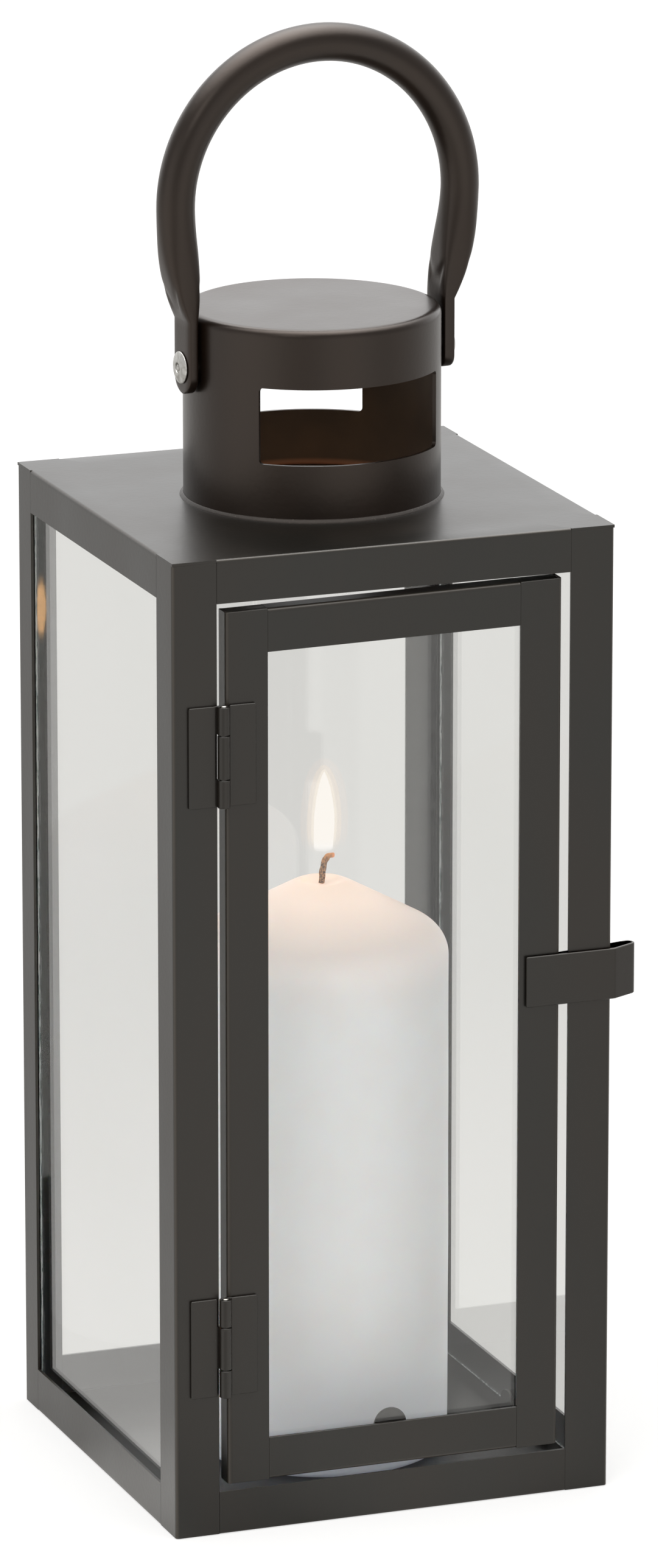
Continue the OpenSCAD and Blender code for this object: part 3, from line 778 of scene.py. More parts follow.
class LANTERN_OT_frame(Operator):
    """Builds the lid, the base tray and the four corner posts"""

    bl_idname = "lantern.build_frame"
    bl_label = "Frame"

    def execute(self, context):
        sizes = context.scene.lantern_sizes
        sheet = sizes.sheet / MM
        fold = sizes.lid_fold / MM
        coat = body_coat()
        reach = box("corner_post_front_right")[1][0]
        front, back = extent("corner_post_front_left", 0), extent("corner_post_back_left", 0)
        # The back posts' legs are a little wider on the back face than on the side faces.
        wider = 1.2
        stations = rim_columns(reach, front, back, back + wider)
        low, high = box("top_cover")
        # Round the vent hole the lid's rows are circles, and further out they turn square.
        hole = sizes.vent / MM
        middle = [(hole, 0.0), (hole + 0.4, 0.0), (hole + 5.0, 0.0), (hole + 14.0, 0.35)]
        middle += [(hole + 14.0, 0.7), (1.0, 1.0)]
        lid = folded_sheet(stations, high[2], reach, low[2], sheet, fold, reach, middle, True)
        make_piece("lid", [lid], [coat], "root", ["top_cover"])
        low, high = box("base_tray")
        flat = [(1.0, 0.01), (1.0, 0.5), (1.0, 1.0)]
        # The tray's floor stops inside the posts, which stand on the ground beside it.
        between = reach - sheet - 0.05
        tray = folded_sheet(stations, low[2], reach, high[2], sheet, 0.5 * fold, between, flat, False)
        make_piece("tray", [tray], [coat], "root", ["base_tray"])
        for node in POSTS:
            post = corner_post(node, sheet, sizes.post_fold / MM, wider if "back" in node else 0.0)
            name = node.replace("corner_post", "post")
            make_piece(name, [post], [coat], "root", [node])
        return {"FINISHED"}


# ---- panes -------------------------------------------------------------------


def pane(node, bevel, edge=1):
    """A pane: a rounded rectangle carried through the glass's thickness, with a ground bevel. Its
    edge takes the material slot given."""
    low, high = box(node)
    axis = int(np.argmin(high - low))
    flat = [k for k in range(3) if k != axis]
    outline = rounded_rectangle(low[flat], high[flat], 0.6)
    return prism(outline, low[axis], high[axis], axis, bevel, slots=(edge, 0))


def tab(width, low, high, front, back, round_head, quarter=0):
    """An upright tab: a plate with a half-round or square head, carried through its thickness, and
    turned by quarters about the upright axis."""
    half = width / 2
    if round_head:
        head = arc_points((0, high - half), half, 0, 180, 16)
    else:
        head = np.array([[half, high - 0.3], [half - 0.3, high], [-half + 0.3, high], [-half, high - 0.3]])
    outline = np.concatenate([head, [[-half, low], [half, low]]])
    return turned(prism(outline, front, back, 1, 0.15), quarter * math.pi / 2)


def pane_tabs(reach, glass, gap, clip, floor, under, seat, quarter):
    """The clips of one fixed pane, drawn for a pane that faces -Y with its outer face at -reach: a
    seat below it, a round tab inside it and a square tab at its head. floor and under are the heights
    that they are welded to, and quarter turns them to the pane's own side."""
    width, thick, tall = clip
    face = -reach + glass + gap
    parts = [
        tab(width, floor, floor + tall, face, face + thick, True, quarter),
        tab(width, under - tall, under, face, face + thick, False, quarter),
    ]
    outline = rounded_rectangle((-width / 2, floor), (width / 2, floor + seat), 0.15)
    parts.append(turned(prism(outline, -reach, face, 1, 0.08), quarter * math.pi / 2))
    return parts


class LANTERN_OT_glass(Operator):
    """Builds the three fixed panes and the clips that hold them"""

    bl_idname = "lantern.build_glass"
    bl_label = "Glass"

    def execute(self, context):
        sizes = context.scene.lantern_sizes
        coat = body_coat()
        floor, under = (corner[2] for corner in box("left_glass_clips"))
        # A clip's width, thickness and height, and the gap between it and the glass.
        clip = (extent("left_glass_clips", 1), sizes.sheet / MM, 7.5)
        gap = 0.1
        for side, quarter in (("left", -1), ("right", 1), ("back", 2)):
            node = side + "_glass"
            # The back pane's edges sit in the posts' corners, out of the light, and stay clear.
            part = pane(node, sizes.pane_bevel / MM, 0 if side == "back" else 1)
            make_piece(side + "_pane", [part], window_glass(), "root", [node])
            low, high = box(node)
            axis = int(np.argmin(high - low))
            reach = max(-low[axis], high[axis])
            seat = low[2] - floor
            tabs = pane_tabs(reach, extent(node, axis), gap, clip, floor, under, seat, quarter)
            node = side + "_glass_clips"
            make_piece(side + "_clips", tabs, [coat], "root", [node])
        return {"FINISHED"}


# ---- chimney -----------------------------------------------------------------


def spaced(start, end, step, fine, count):
    """Numbers from start to end: count fine steps at both ends and even steps between them."""
    ends = fine * np.arange(1, count + 1)
    inside = np.linspace(start + ends[-1], end - ends[-1], max(2, round((end - start) / step)) + 1)
    return np.concatenate([[start], (start + ends)[:-1], inside, (end - ends)[:-1][::-1]])


def round_window_corners(angle, height, corner, radius_deg, radius_mm):
    """Moves the points on a window's edge near one corner onto a quarter circle: a point a share d of
    the radius away from the corner goes to the angle (1 - d) 45 degrees along the arc."""
    a0, h0, da, dh = corner
    u = (angle - a0) * da / radius_deg
    v = (height - h0) * dh / radius_mm
    on_side = (np.abs(u) < 1e-6) & (v > -1e-6) & (v < 1 - 1e-6)
    on_sill = (np.abs(v) < 1e-6) & (u > -1e-6) & (u < 1 - 1e-6)
    turn = np.radians(45) * np.where(on_side, 1 - v, 1 - u)
    near, far = 1 - np.cos(turn), 1 - np.sin(turn)
    new_u = np.where(on_side, near, np.where(on_sill, far, u))
    new_v = np.where(on_side, far, np.where(on_sill, near, v))
    on_edge = on_side | on_sill
    angle = np.where(on_edge, a0 + new_u * da * radius_deg, angle)
    height = np.where(on_edge, h0 + new_v * dh * radius_mm, height)
    return angle, height


def chimney_shell(radius, foot, tall, wall, edge, windows, corner):
    """The chimney: a wall x = r cos a, y = r sin a over angle and height, with the cells of both
    windows left out, that turns over a round edge to a flat top: r = radius - e (1 - cos t) and
    z = top - e (1 - sin t)."""
    span, sill, head = windows
    columns = []
    for middle in (-90.0, 90.0):
        columns.append(spaced(middle - span / 2, middle + span / 2, 2.0, 0.5, 5))
        columns.append(spaced(middle + span / 2, middle + 180 - span / 2, 2.0, 0.5, 5))
    columns = np.concatenate(columns)
    levels = [spaced(0, sill, 2.0, 0.3, 5), spaced(sill, head, 2.0, 0.3, 5)]
    levels.append(spaced(head, tall - edge, 2.0, 0.3, 5))
    levels = np.append(np.concatenate(levels), tall - edge)
    angle, height = np.meshgrid(columns, levels)
    mid_angle = angle[:-1] + 0.1
    mid_height = height[:-1] + 0.01
    keep = np.ones(mid_angle.shape, bool)
    for middle in (-90.0, 90.0):
        inside = (np.abs(mid_angle - middle) < span / 2) & (mid_height > sill) & (mid_height < head)
        keep &= ~inside
        for da in (1, -1):
            for dh, level in ((1, sill), (-1, head)):
                place = (middle - da * span / 2, level, da, dh)
                reach = math.degrees(corner / radius)
                angle, height = round_window_corners(angle, height, place, reach, corner)
    skins = []
    for r, e, top in ((radius, edge, tall), (radius - wall, edge - wall, tall - wall)):
        a = np.radians(angle)
        z = np.minimum(height, tall - edge)
        skin = [np.stack([r * np.cos(a), r * np.sin(a), z], -1)]
        turn = np.radians(np.linspace(0, 90, 8)[1:])
        rings = [(r - e * (1 - math.cos(t)), top - e * (1 - math.sin(t))) for t in turn]
        rings += [(r - e - 0.4, top), (20.0, top), (6.0, top), (0.8, top)]
        line = np.radians(columns)
        for ring, z in rings:
            skin.append(np.stack([ring * np.cos(line), ring * np.sin(line), 0 * line + z], -1)[None])
        skins.append(np.concatenate(skin))
    more = skins[0].shape[0] - 1 - keep.shape[0]
    keep = np.vstack([keep, np.ones((more, keep.shape[1]), bool)])
    return turned(walled(*skins, keep, slots=(0, 1)), TURN, foot)


def bead_shell(radius, foot, width):
    """The weld run: a round fillet carried round the chimney's foot. Its size is width times a
    number near 0.6 that adds three slow waves, seeded lumps and fine ripples."""
    rng = np.random.default_rng(11)
    angle = full_turn(720)
    coarse = rng.normal(size=48)
    lumps = np.interp(angle, np.linspace(0, 2 * np.pi, 49), np.append(coarse, coarse[0]))
    fine = rng.normal(size=240)
    ripple = np.interp(angle, np.linspace(0, 2 * np.pi, 241), np.append(fine, fine[0]))
    size = 0.62 + 0.03 * np.sin(3 * angle + 0.8) + 0.015 * lumps + 0.008 * ripple
    size = width * np.clip(size, 0.5, 1.0)
    # The run starts and ends at the back, where the two ends leave a thin place.
    away = np.abs((angle - np.radians(100) + np.pi) % (2 * np.pi) - np.pi)
    size = size * np.clip(away / np.radians(7), 0.3, 1.0)
    turn = np.linspace(0, np.pi / 2, 8)[:, None]
    sag = 1 - 0.22 * np.sin(2 * turn)
    r = np.vstack([radius + 0.04 + size * np.cos(turn) * sag, np.full_like(angle, radius + 0.04)[None]])
    z = np.vstack([foot + size * np.sin(turn) * sag, np.full_like(angle, foot)[None]])
    return looped(np.stack([r * np.cos(angle), r * np.sin(angle), z], -1))


class LANTERN_OT_chimney(Operator):
    """Builds the vented chimney and the weld bead round its foot"""

    bl_idname = "lantern.build_chimney"
    bl_label = "Chimney"

    def execute(self, context):
        low, high = box("chimney")
        corner = context.scene.lantern_sizes.window_corner / MM
        radius, tall = high[0], high[2] - low[2]
        # The wall's thickness, the radius of its top edge, and each window: the angle that it spans
        # and the heights of its sill and its head over the lid.
        wall, edge = 1.0, 2.2
        windows = (97.0, 15.5, 36.4)
        body = chimney_shell(radius, low[2], tall, wall, edge, windows, corner)
        # The inside's colour, its thinner patches and the foot of the painted band of flame light.
        inside = hex_colour("#33271C"), hex_colour("#453423"), low[2] + 0.6
        coats = [top_coat(), pick("thin_overspray_on_steel", thin_overspray, *inside)]
        make_piece("chimney_drum", [body], coats, "root", ["chimney"])
        low, high = box("chimney_weld_bead")
        weld = pick("coated_weld_bead", weld_metal, context.scene.lantern_colours.top_paint[:])
        bead = bead_shell(radius, low[2], high[2] - low[2])
        make_piece("weld_bead", [bead], [weld], "root", ["chimney_weld_bead"])
        return {"FINISHED"}


# ---- handle ------------------------------------------------------------------

# Angles round a ring of the handle.
ROUND = full_turn(64)


def ease(t):
    """Smooth step: t t (3 - 2 t)."""
    t = np.clip(t, 0, 1)
    return t * t * (3 - 2 * t)


def handle_leg(side, top, rise, tube, foot, end, crease_tall=13.0):
    """One leg of the bow handle as rings from the bow's foot, at the height rise over the pivot, down
    to the leg's flattened end, with their wear. A ring is x = a |cos q|^p, y = b |sin q|^p in its own
    plane, and a, b and p pass from a circle at the top to a flat rounded bar at the end, where a
    V-shaped crease is pressed. top is the leg's distance from the middle at its top and foot the
    height where the bar begins. end holds the bar's drop below the pivot, its distance from the
    middle, its thickness, width, corner radius and p."""
    drop, mid, thick, wide, corner, square = end
    # Each ring's x, z, a, b and p: down the leg, down the bar and round its corners.
    leg = []
    for t in np.linspace(0, 1, 45):
        a = tube / 2 + (thick / 2 - tube / 2) * max(0.0, (t - 0.3) / 0.7) ** 2
        b = tube / 2 + (wide / 2 - tube / 2) * ease(min(1, 1.6 * t))
        x, z = top + (mid - top) * t**1.6, rise + (foot - rise) * t
        leg.append((x, z, a, b, 1 - (1 - square) * ease(t)))
    for z in np.linspace(foot, corner - drop, 9)[1:]:
        leg.append((mid, z, thick / 2, wide / 2, square))
    for t in np.linspace(0, np.pi / 2, 10)[1:]:
        low, out = math.sin(t), math.cos(t)
        half = wide / 2 - corner * (1 - out)
        leg.append((mid, corner * (1 - low) - drop, thick / 2 * (1 - 0.25 * low**4), half, square))
    x, z, a, b, p = np.array(leg).T[:, :, None]
    cos, sin = np.cos(ROUND), np.sin(ROUND)
    depth = a * np.sign(cos) * np.abs(cos) ** p
    across = b * np.sign(sin) * np.abs(sin) ** p
    # The crease: from a point in the middle of the bar's top two lines part and rise to its edges.
    rising = (z - foot) / crease_tall
    off = np.abs(across) - b * np.clip(rising, 0, 1)
    crease = 0.42 * np.exp(-((off / 1.1) ** 2)) * ease(rising * 3) * ease((1.0 - rising) * 2.2)
    depth = depth - np.sign(cos) * crease * cos**2
    return np.stack(np.broadcast_arrays(side * (x + depth), across, z), -1), 0.2 * crease


def handle_shell(radius, rise, lean, tube, foot, ends):
    """The bow handle, about its pivot: the left leg's rings from its end up, the bow's and the right
    leg's down. The bow leans to +X, and its tube is round: with s = radius + r cos q, a point is
    x = lean + s cos a, y = r sin q, z = rise + s sin a."""
    left, right = (handle_leg(k, radius + k * lean, rise, tube, foot, end) for k, end in zip((-1, 1), ends))
    around = np.linspace(np.pi, 0, 73)[1:-1, None]
    out = radius + tube / 2 * np.cos(ROUND)
    bow = [lean + out * np.cos(around), tube / 2 * np.sin(ROUND), rise + out * np.sin(around)]
    bow = np.stack(np.broadcast_arrays(*bow), -1)
    rings = np.concatenate([left[0][::-1], bow, right[0]])
    return ringed(rings, np.concatenate([left[1][::-1], np.zeros(bow.shape[:2]), right[1]]))


def rivet_shell(wall, under, head, shank, bulb, hollow):
    """A blind rivet as a profile turned about its own axis, which lies along +X: formed bulb, shank,
    flanged head with a domed face, and the hollow with the broken end of its mandrel. wall is the
    radius of the chimney's inner face and under where the head's flange lies. head and bulb hold a
    radius and a height each, shank and hollow a radius."""
    head_r, head_h = head
    rim = 0.3 * head_h
    dome = head_h - rim
    dome_r = (head_r**2 + dome**2) / (2 * dome)
    end = math.sqrt(wall**2 - bulb[0] ** 2) - 0.1
    start = end - bulb[1]
    profile = [(0.02, start), (bulb[0] - 0.6, start), (bulb[0], start + 0.6), (bulb[0], end - 0.3)]
    profile += [(bulb[0] - 0.3, end), (shank, end), (shank, under), (head_r - 0.12, under)]
    profile += [(head_r, under + 0.12), (head_r, under + rim - 0.1)]
    for r in (head_r - 0.1, head_r - 0.4, 3.5, 2.8, 2.1, hollow + 0.25):
        profile.append((r, under + head_h - dome_r + math.sqrt(dome_r**2 - r**2)))
    lip = under + head_h - dome_r + math.sqrt(dome_r**2 - hollow**2)
    profile += [(hollow + 0.05, lip - 0.04), (hollow - 0.08, lip - 0.3), (hollow - 0.1, under + rim + 0.1)]
    profile += [(0.95, under + rim + 0.12), (0.85, under + rim + 0.5), (0.5, under + rim + 0.72)]
    profile += [(0.02, under + rim + 0.66)]
    return moved(lathe(profile, 56), lambda x, y, z: (z, y, -x))


class LANTERN_OT_handle(Operator):
    """Builds the bow handle and the two rivets that it swings on"""

    bl_idname = "lantern.build_handle"
    bl_label = "Handle and rivets"

    def execute(self, context):
        drum = box("chimney")[1][0]
        # The outer face of the handle's bars lies this far from the middle.
        outer = drum + 3.7
        pivot = sum(corner[2] for corner in box("left_rivet")) / 2
        drop = pivot - box("handle")[0][2]
        radius, tube, rise, lean, foot = 42.1, 10.4, 43.5, 2.0, 13.0
        # The bow was bent and pressed by hand: its right end is shorter and stands off the drum.
        stand_off = (0.0, 1.7)
        ends = [(drop, outer - 1.6, 3.2, 10.8, 5.2, 0.4)]
        ends += [(drop - 0.9, outer + stand_off[1] - 1.85, 3.7, 11.6, 3.6, 0.3)]
        bow = turned(handle_shell(radius, rise, lean, tube, foot, ends), TURN, pivot)
        make_piece("bow_handle", [bow], [top_coat()], "handle", ["handle"])
        name = "bare_rivet_aluminium"
        tones = hex_colour("#C3C2BE"), hex_colour("#96938D")
        metal = pick(name, formed_metal, name, *tones, (0.36, 0.48), 0.0005)
        head, shank, bulb, hollow = (4.4, 1.1), 2.4, (3.4, 3.0), 1.4
        for side, angle, off in zip(("left", "right"), (math.pi, 0.0), stand_off):
            part = rivet_shell(drum - 1.0, outer + off + 0.1, head, shank, bulb, hollow)
            part = turned(part, TURN + angle, pivot)
            node = side + "_rivet"
            make_piece(node + "_set", [part], [metal], "root", [node])
        return {"FINISHED"}


# ---- door --------------------------------------------------------------------


def stile_shell(node, sheet):
    """A door stile: its face and its fold are one L of folded sheet."""
    low, high = box(node)
    outer = low[0] if abs(low[0]) > abs(high[0]) else high[0]
    inner = high[0] if outer == low[0] else low[0]
    half = sheet / 2
    x = outer - math.copysign(half, outer)
    y = low[1] + half
    corners = [(inner + math.copysign(half, outer), y), (x, y), (x, high[1] - half)]
    return folded(corners, [0.75], sheet, low[2], high[2], 2)


def hung(part, mid, tilt):
    """A door part whose points near the door's top are moved to the tilt of its top edge: z grows by
    tilt * x, by a share that rises from 0 at mid height to 1 at the top."""
    return moved(part, lambda x, y, z: (x, y, z + tilt * x * np.clip((z - mid) / mid, 0, 1)))


def rail_shells(node, sheet, face, top):
    """A door rail: an L of folded sheet between the stiles, and its fold run on behind them."""
    low, high = box(node)
    half = sheet / 2
    fold_z = high[2] - half if top else low[2] + half
    tip_z = low[2] + half if top else high[2] - half
    y = low[1] + half
    corners = [(y, tip_z), (y, fold_z), (high[1] - half, fold_z)]
    parts = [folded(corners, [0.75], sheet, -face, face, 0)]
    plate = rounded_rectangle((low[1] + sheet, fold_z - half), (high[1], fold_z + half), 0.2)
    parts.append(prism(plate, low[0], -face, 0, 0.08))
    parts.append(prism(plate, face, high[0], 0, 0.08))
    return parts


class LANTERN_OT_door(Operator):
    """Builds the door's stiles, rails, pane and clips"""

    bl_idname = "lantern.build_door"
    bl_label = "Door"

    def execute(self, context):
        sizes = context.scene.lantern_sizes
        sheet = sizes.door_sheet / MM
        coat = body_coat()
        stile = box("door_left_stile")
        # The door hangs slightly out of square: its top edge climbs 1.2 mm towards the latch.
        tilt = (stile[1][2] / 2, 1.2 / (2 * abs(stile[0][0])))
        for side in ("left", "right"):
            node = f"door_{side}_stile"
            part = hung(stile_shell(node, sheet), *tilt)
            make_piece(side + "_stile", [part], [coat], "door", [node])
        face = abs(stile[1][0])
        for end in ("top", "bottom"):
            node = f"door_{end}_rail"
            parts = [hung(part, *tilt) for part in rail_shells(node, sheet, face, end == "top")]
            make_piece(end + "_rail", parts, [coat], "door", [node])
        part = pane("door_glass", sizes.pane_bevel / MM)
        make_piece("door_pane", [part], window_glass(), "door", ["door_glass"])
        low, high = box("door_glass_clips")
        width = high[0] - low[0]
        # The lower clip's round head shows 3.4 mm above the bottom rail, and the upper one is short.
        spans = (low[2], box("door_bottom_rail")[1][2] + 3.4), (high[2] - 7.5, high[2])
        tabs = [tab(width, *span, low[1], high[1], k == 0) for k, span in enumerate(spans)]
        make_piece("door_clips", tabs, [coat], "door", ["door_glass_clips"])
        return {"FINISHED"}


# ---- hinges ------------------------------------------------------------------


def leaf_shells(axis, low, high, spans, side, plate=0.9, wall=0.75, outer=1.7, clear=2.0):
    """A hinge leaf: a flat plate that stops clear of the pin, and curls of a thinner wall that run on
    round it. A curl's middle line is an arc about the pin, of its outer radius less half its wall,
    from the plate round to a seam that stays open."""
    x0, back = axis[0], high[1]
    rim = rounded_rectangle((low[0], low[2]), (x0 - clear, high[2]), 0.35)
    parts = [prism(rim, back - plate, back, 1, 0.14)]
    line = np.array([[x0 - clear - 0.6, back - wall / 2], [x0 - 0.35, back - wall / 2]])
    path = np.concatenate([line, arc_points(axis, outer - wall / 2, 90, -196, 34)])
    outline, worn = strip_outline(path, wall, np.zeros(len(path)))
    parts += [prism(outline, start, end, 2, 0.1, worn) for start, end in spans]
    return [mirrored(part, x0) for part in parts] if side > 0 else parts


class LANTERN_OT_hinges(Operator):
    """Builds both hinges: a post leaf, a door leaf and a pin each"""

    bl_idname = "lantern.build_hinges"
    bl_label = "Hinges"

    def execute(self, context):
        coat = body_coat()
        name = "drawn_pin_steel"
        tones = hex_colour("#C9C6C0"), hex_colour("#7C776F")
        steel = pick(name, formed_metal, name, *tones, (0.28, 0.42), 0.0004)
        for place, middle_on_door in (("upper", True), ("lower", False)):
            pin = box(place + "_hinge_pin")
            axis = (pin[0] + pin[1])[:2] / 2
            low, high = box(place + "_hinge_post_leaf")
            # One leaf has the middle curl, 11.8 mm tall, and the other has those above and below it.
            mid, half, gap = (high[2] + low[2]) / 2, 5.9, 0.3
            middle = [(mid - half, mid + half)]
            ends = [(low[2], mid - half - gap), (mid + half + gap, high[2])]
            for leaf, side, body in (("post", -1, "root"), ("door", 1, "door")):
                spans = middle if (leaf == "door") == middle_on_door else ends
                parts = leaf_shells(axis, low, high, spans, side)
                node = f"{place}_hinge_{leaf}_leaf"
                make_piece(f"{place}_{leaf}_leaf", parts, [coat], body, [node])
            bottom, top = pin[0][2], pin[1][2]
            profile = [(0.02, bottom), (0.7, bottom), (0.9, bottom + 0.2), (0.9, top - 0.2)]
            profile += [(0.7, top), (0.02, top)]
            part = lathe(profile, 28, axis)
            node = place + "_hinge_pin"
            make_piece(place + "_pin", [part], [steel], "root", [node])
        return {"FINISHED"}


# ---- latch -------------------------------------------------------------------


def latch_shell(start, front, edge, z, thick=0.8, bend=26.0, tail=6.6, curl=1.4):
    """The latch: one spring strip seen from above as a path, its outer face at front. It leaves its
    welded foot along +X, bends back by an arc at the post's edge, runs on for its tail, turns round in
    a half circle of radius curl and ends in a short straight lip."""
    y = front + thick / 2
    points = [np.stack([np.linspace(start, edge, 26), np.full(26, y)], 1)]
    turn, r = math.radians(bend), 1.2
    angle = np.linspace(0, turn, 9)[1:]
    points.append(np.stack([edge + r * np.sin(angle), y + r - r * np.cos(angle)], 1))
    along = np.array([math.cos(turn), math.sin(turn)])
    up = np.array([-along[1], along[0]])
    points.append(points[-1][-1] + along * np.linspace(0, tail, 7)[1:, None])
    angle = np.linspace(0, np.pi, 19)[1:, None]
    points.append(points[-1][-1] + curl * (up + along * np.sin(angle) - up * np.cos(angle)))
    points.append(points[-1][-1] - along * np.array([0.8, 1.6, 2.4, 3.0])[:, None])
    path = np.concatenate(points)
    outline, worn = strip_outline(path, thick, np.zeros(len(path)))
    return prism(outline, *z, 2, 0.18, worn, end_worn=0.3)


class LANTERN_OT_latch(Operator):
    """Builds the spring latch in one strip, from its welded foot to its curl"""

    bl_idname = "lantern.build_latch"
    bl_label = "Latch"

    def execute(self, context):
        low, high = box("latch_foot")
        clip = box("latch_clip")
        z = (clip[0][2], clip[1][2])
        # The strip bends round the post's outer edge, 0.4 mm clear of it.
        edge = box("corner_post_front_right")[1][0] + 0.4
        parts = [latch_shell(low[0] + 0.4, low[1], edge, z)]
        # The weld pad behind the foot fills the gap to the stile.
        pad = rounded_rectangle((low[0] + 0.5, z[0] + 1.2), (high[0] - 0.1, z[1] - 1.2), 0.6)
        parts.append(prism(pad, low[1] + 0.75, high[1], 1, 0.05))
        y = clip[0][1] * MM
        mid = sum(z) / 2 * MM
        # The real strip flexes from its weld to the post's edge; these two points mark that span.
        weld, free = 0.0412, 0.0600
        route = ("door", "latch", (weld, y, mid), (free, y, mid))
        nodes = ["latch_foot", "latch_clip"]
        make_piece("spring_latch", parts, [body_coat()], route, nodes)
        return {"FINISHED"}


# ---- candle ------------------------------------------------------------------


def candle_shell(centre, radius, foot, top):
    """The pillar: an upright wall, a round shoulder, a straight slope up to the rim, the rim and a
    hollow. Over the rim's width, with t from 1 at the slope to 0 at the hollow, z is the top less
    drop t^1.3. In the hollow, with t from 1 at its edge to 0 in the middle, z is the top less
    dip (1 - t t). The wall is uneven by 0.12 mm at most, in slow waves."""
    # The radius of the shoulder's arc and how far below the top it starts, the hollow's radius and
    # depth, and the rim's outer radius and how far it falls to the slope.
    shoulder, fall = 10.0, 21.4
    pool, dip = 6.0, 1.0
    rim, drop = 10.5, 2.0
    # The slope's angle, from the height and the width that the shoulder's arc leaves for it.
    slope = math.degrees(math.atan((fall - shoulder - 0.6) / (radius - shoulder / 2 - rim)))
    profile = [(0.05, foot), (radius - 1.5, foot)]
    profile += arc_points((radius - 1.5, foot + 1.5), 1.5, -90, 0, 5).tolist()[1:]
    profile += [(radius, z) for z in np.linspace(foot + 3, top - fall - 3, 26)]
    profile += arc_points((radius - shoulder, top - fall), shoulder, 0, 90 - slope, 14).tolist()
    start = np.array(profile[-1])
    end = np.array([rim, top - drop])
    profile += (start + (end - start) * np.linspace(0, 1, 12)[1:-1, None]).tolist()
    t = np.linspace(1, 0, 9)
    profile += np.stack([pool + (rim - pool) * t, top - drop * t**1.3], 1).tolist()
    t = np.linspace(1, 0, 9)[1:]
    profile += np.stack([1.2 + (pool - 1.2) * t, top - dip * (1 - t * t)], 1).tolist()
    profile += [(0.05, top - dip)]

    def uneven(angle, height):
        """Slow waves round and up the wax: sines of angle and height added up."""
        waves = 0.05 * np.sin(2 * angle + height / 31) + 0.04 * np.sin(5 * angle - height / 19)
        return waves + 0.03 * np.sin(3 * angle + height / 7)

    return lathe(profile, 160, centre, uneven=uneven)


def curve_through(points, count):
    """A smooth line through the points: Catmull-Rom, 0.5 (2b + (c - a) t + (2a - 5b + 4c - d) t t
    + (3b - a - 3c + d) t t t), at even steps of the number of the point."""
    points = np.asarray(points, float)
    padded = np.vstack([2 * points[0] - points[1], points, 2 * points[-1] - points[-2]])
    place = np.linspace(0, len(points) - 1, count)
    k = np.minimum(place.astype(int), len(points) - 2)
    t = (place - k)[:, None]
    a, b, c, d = (padded[k + n] for n in range(4))
    return 0.5 * (2 * b + (c - a) * t + (2 * a - 5 * b + 4 * c - d) * t**2 + (3 * b - a - 3 * c + d) * t**3)


def wick_shell(base, radius):
    """The wick: a ring carried up a line that stands nearly straight and hooks over to +X. The ring
    is plaited, r (1 + 0.08 sin(3q + 26s) + 0.06 sin(2q - 17s)), and the cord thins towards its burnt
    end."""
    line = [(0, 0), (0.15, 2.2), (0.45, 4.4), (0.95, 6.2), (1.75, 7.3), (2.8, 7.65), (3.7, 7.35)]
    x, z = curve_through(line, 56).T[:, :, None]
    turn = np.arctan2(np.gradient(x, axis=0), np.gradient(z, axis=0))
    s = np.linspace(0, 1, 56)[:, None]
    q = full_turn(24)
    plait = 1 + 0.08 * np.sin(3 * q + 26 * s) + 0.06 * np.sin(2 * q - 17 * s)
    tip = np.sqrt(1 - 0.96 * np.clip((s - 0.93) / 0.07, 0, 1) ** 2)
    r = radius * plait * (1 - 0.2 * ease((s - 0.5) / 0.4)) * tip
    across = r * np.cos(q)
    rings = [x + across * np.cos(turn), r * np.sin(q), z - across * np.sin(turn)]
    return ringed(np.stack(rings, -1) + base, np.repeat(s, 24, 1))


def flame_shell(foot, height, width, swell):
    """One layer of the flame. Up its height t the half width is 0.56 w (1 - t^2.6)^0.8, drawn in by up
    to a sixth towards the foot, rounded off below t = 0.06 and swollen by an amount that is even but
    for its two ends. The axis drifts to +X by 0.2 sin(pi t) + 0.3 t."""
    t = np.concatenate([[0.0, 0.004, 0.012, 0.025, 0.04], np.linspace(0.06, 0.94, 40), [0.97, 0.99, 1.0]])
    foot_round = np.sqrt(1 - np.clip(1 - t / 0.06, 0, 1) ** 2)
    r = 0.56 * width * (1 - t**2.6) ** 0.8 * (0.84 + 0.16 * ease(2 * t)) * foot_round
    r = r + swell * np.sqrt(1 - np.abs(2 * t - 1) ** 4) + 0.015
    z = foot[2] - 0.5 * swell + (height + 1.5 * swell) * t
    x = foot[0] + 0.2 * np.sin(np.pi * t) + 0.3 * t
    q = full_turn(40)
    x, z, r = x[:, None], z[:, None], r[:, None]
    rings = np.broadcast_arrays(x + r * np.cos(q), foot[1] + r * np.sin(q), z)
    return ringed(np.stack(rings, -1))


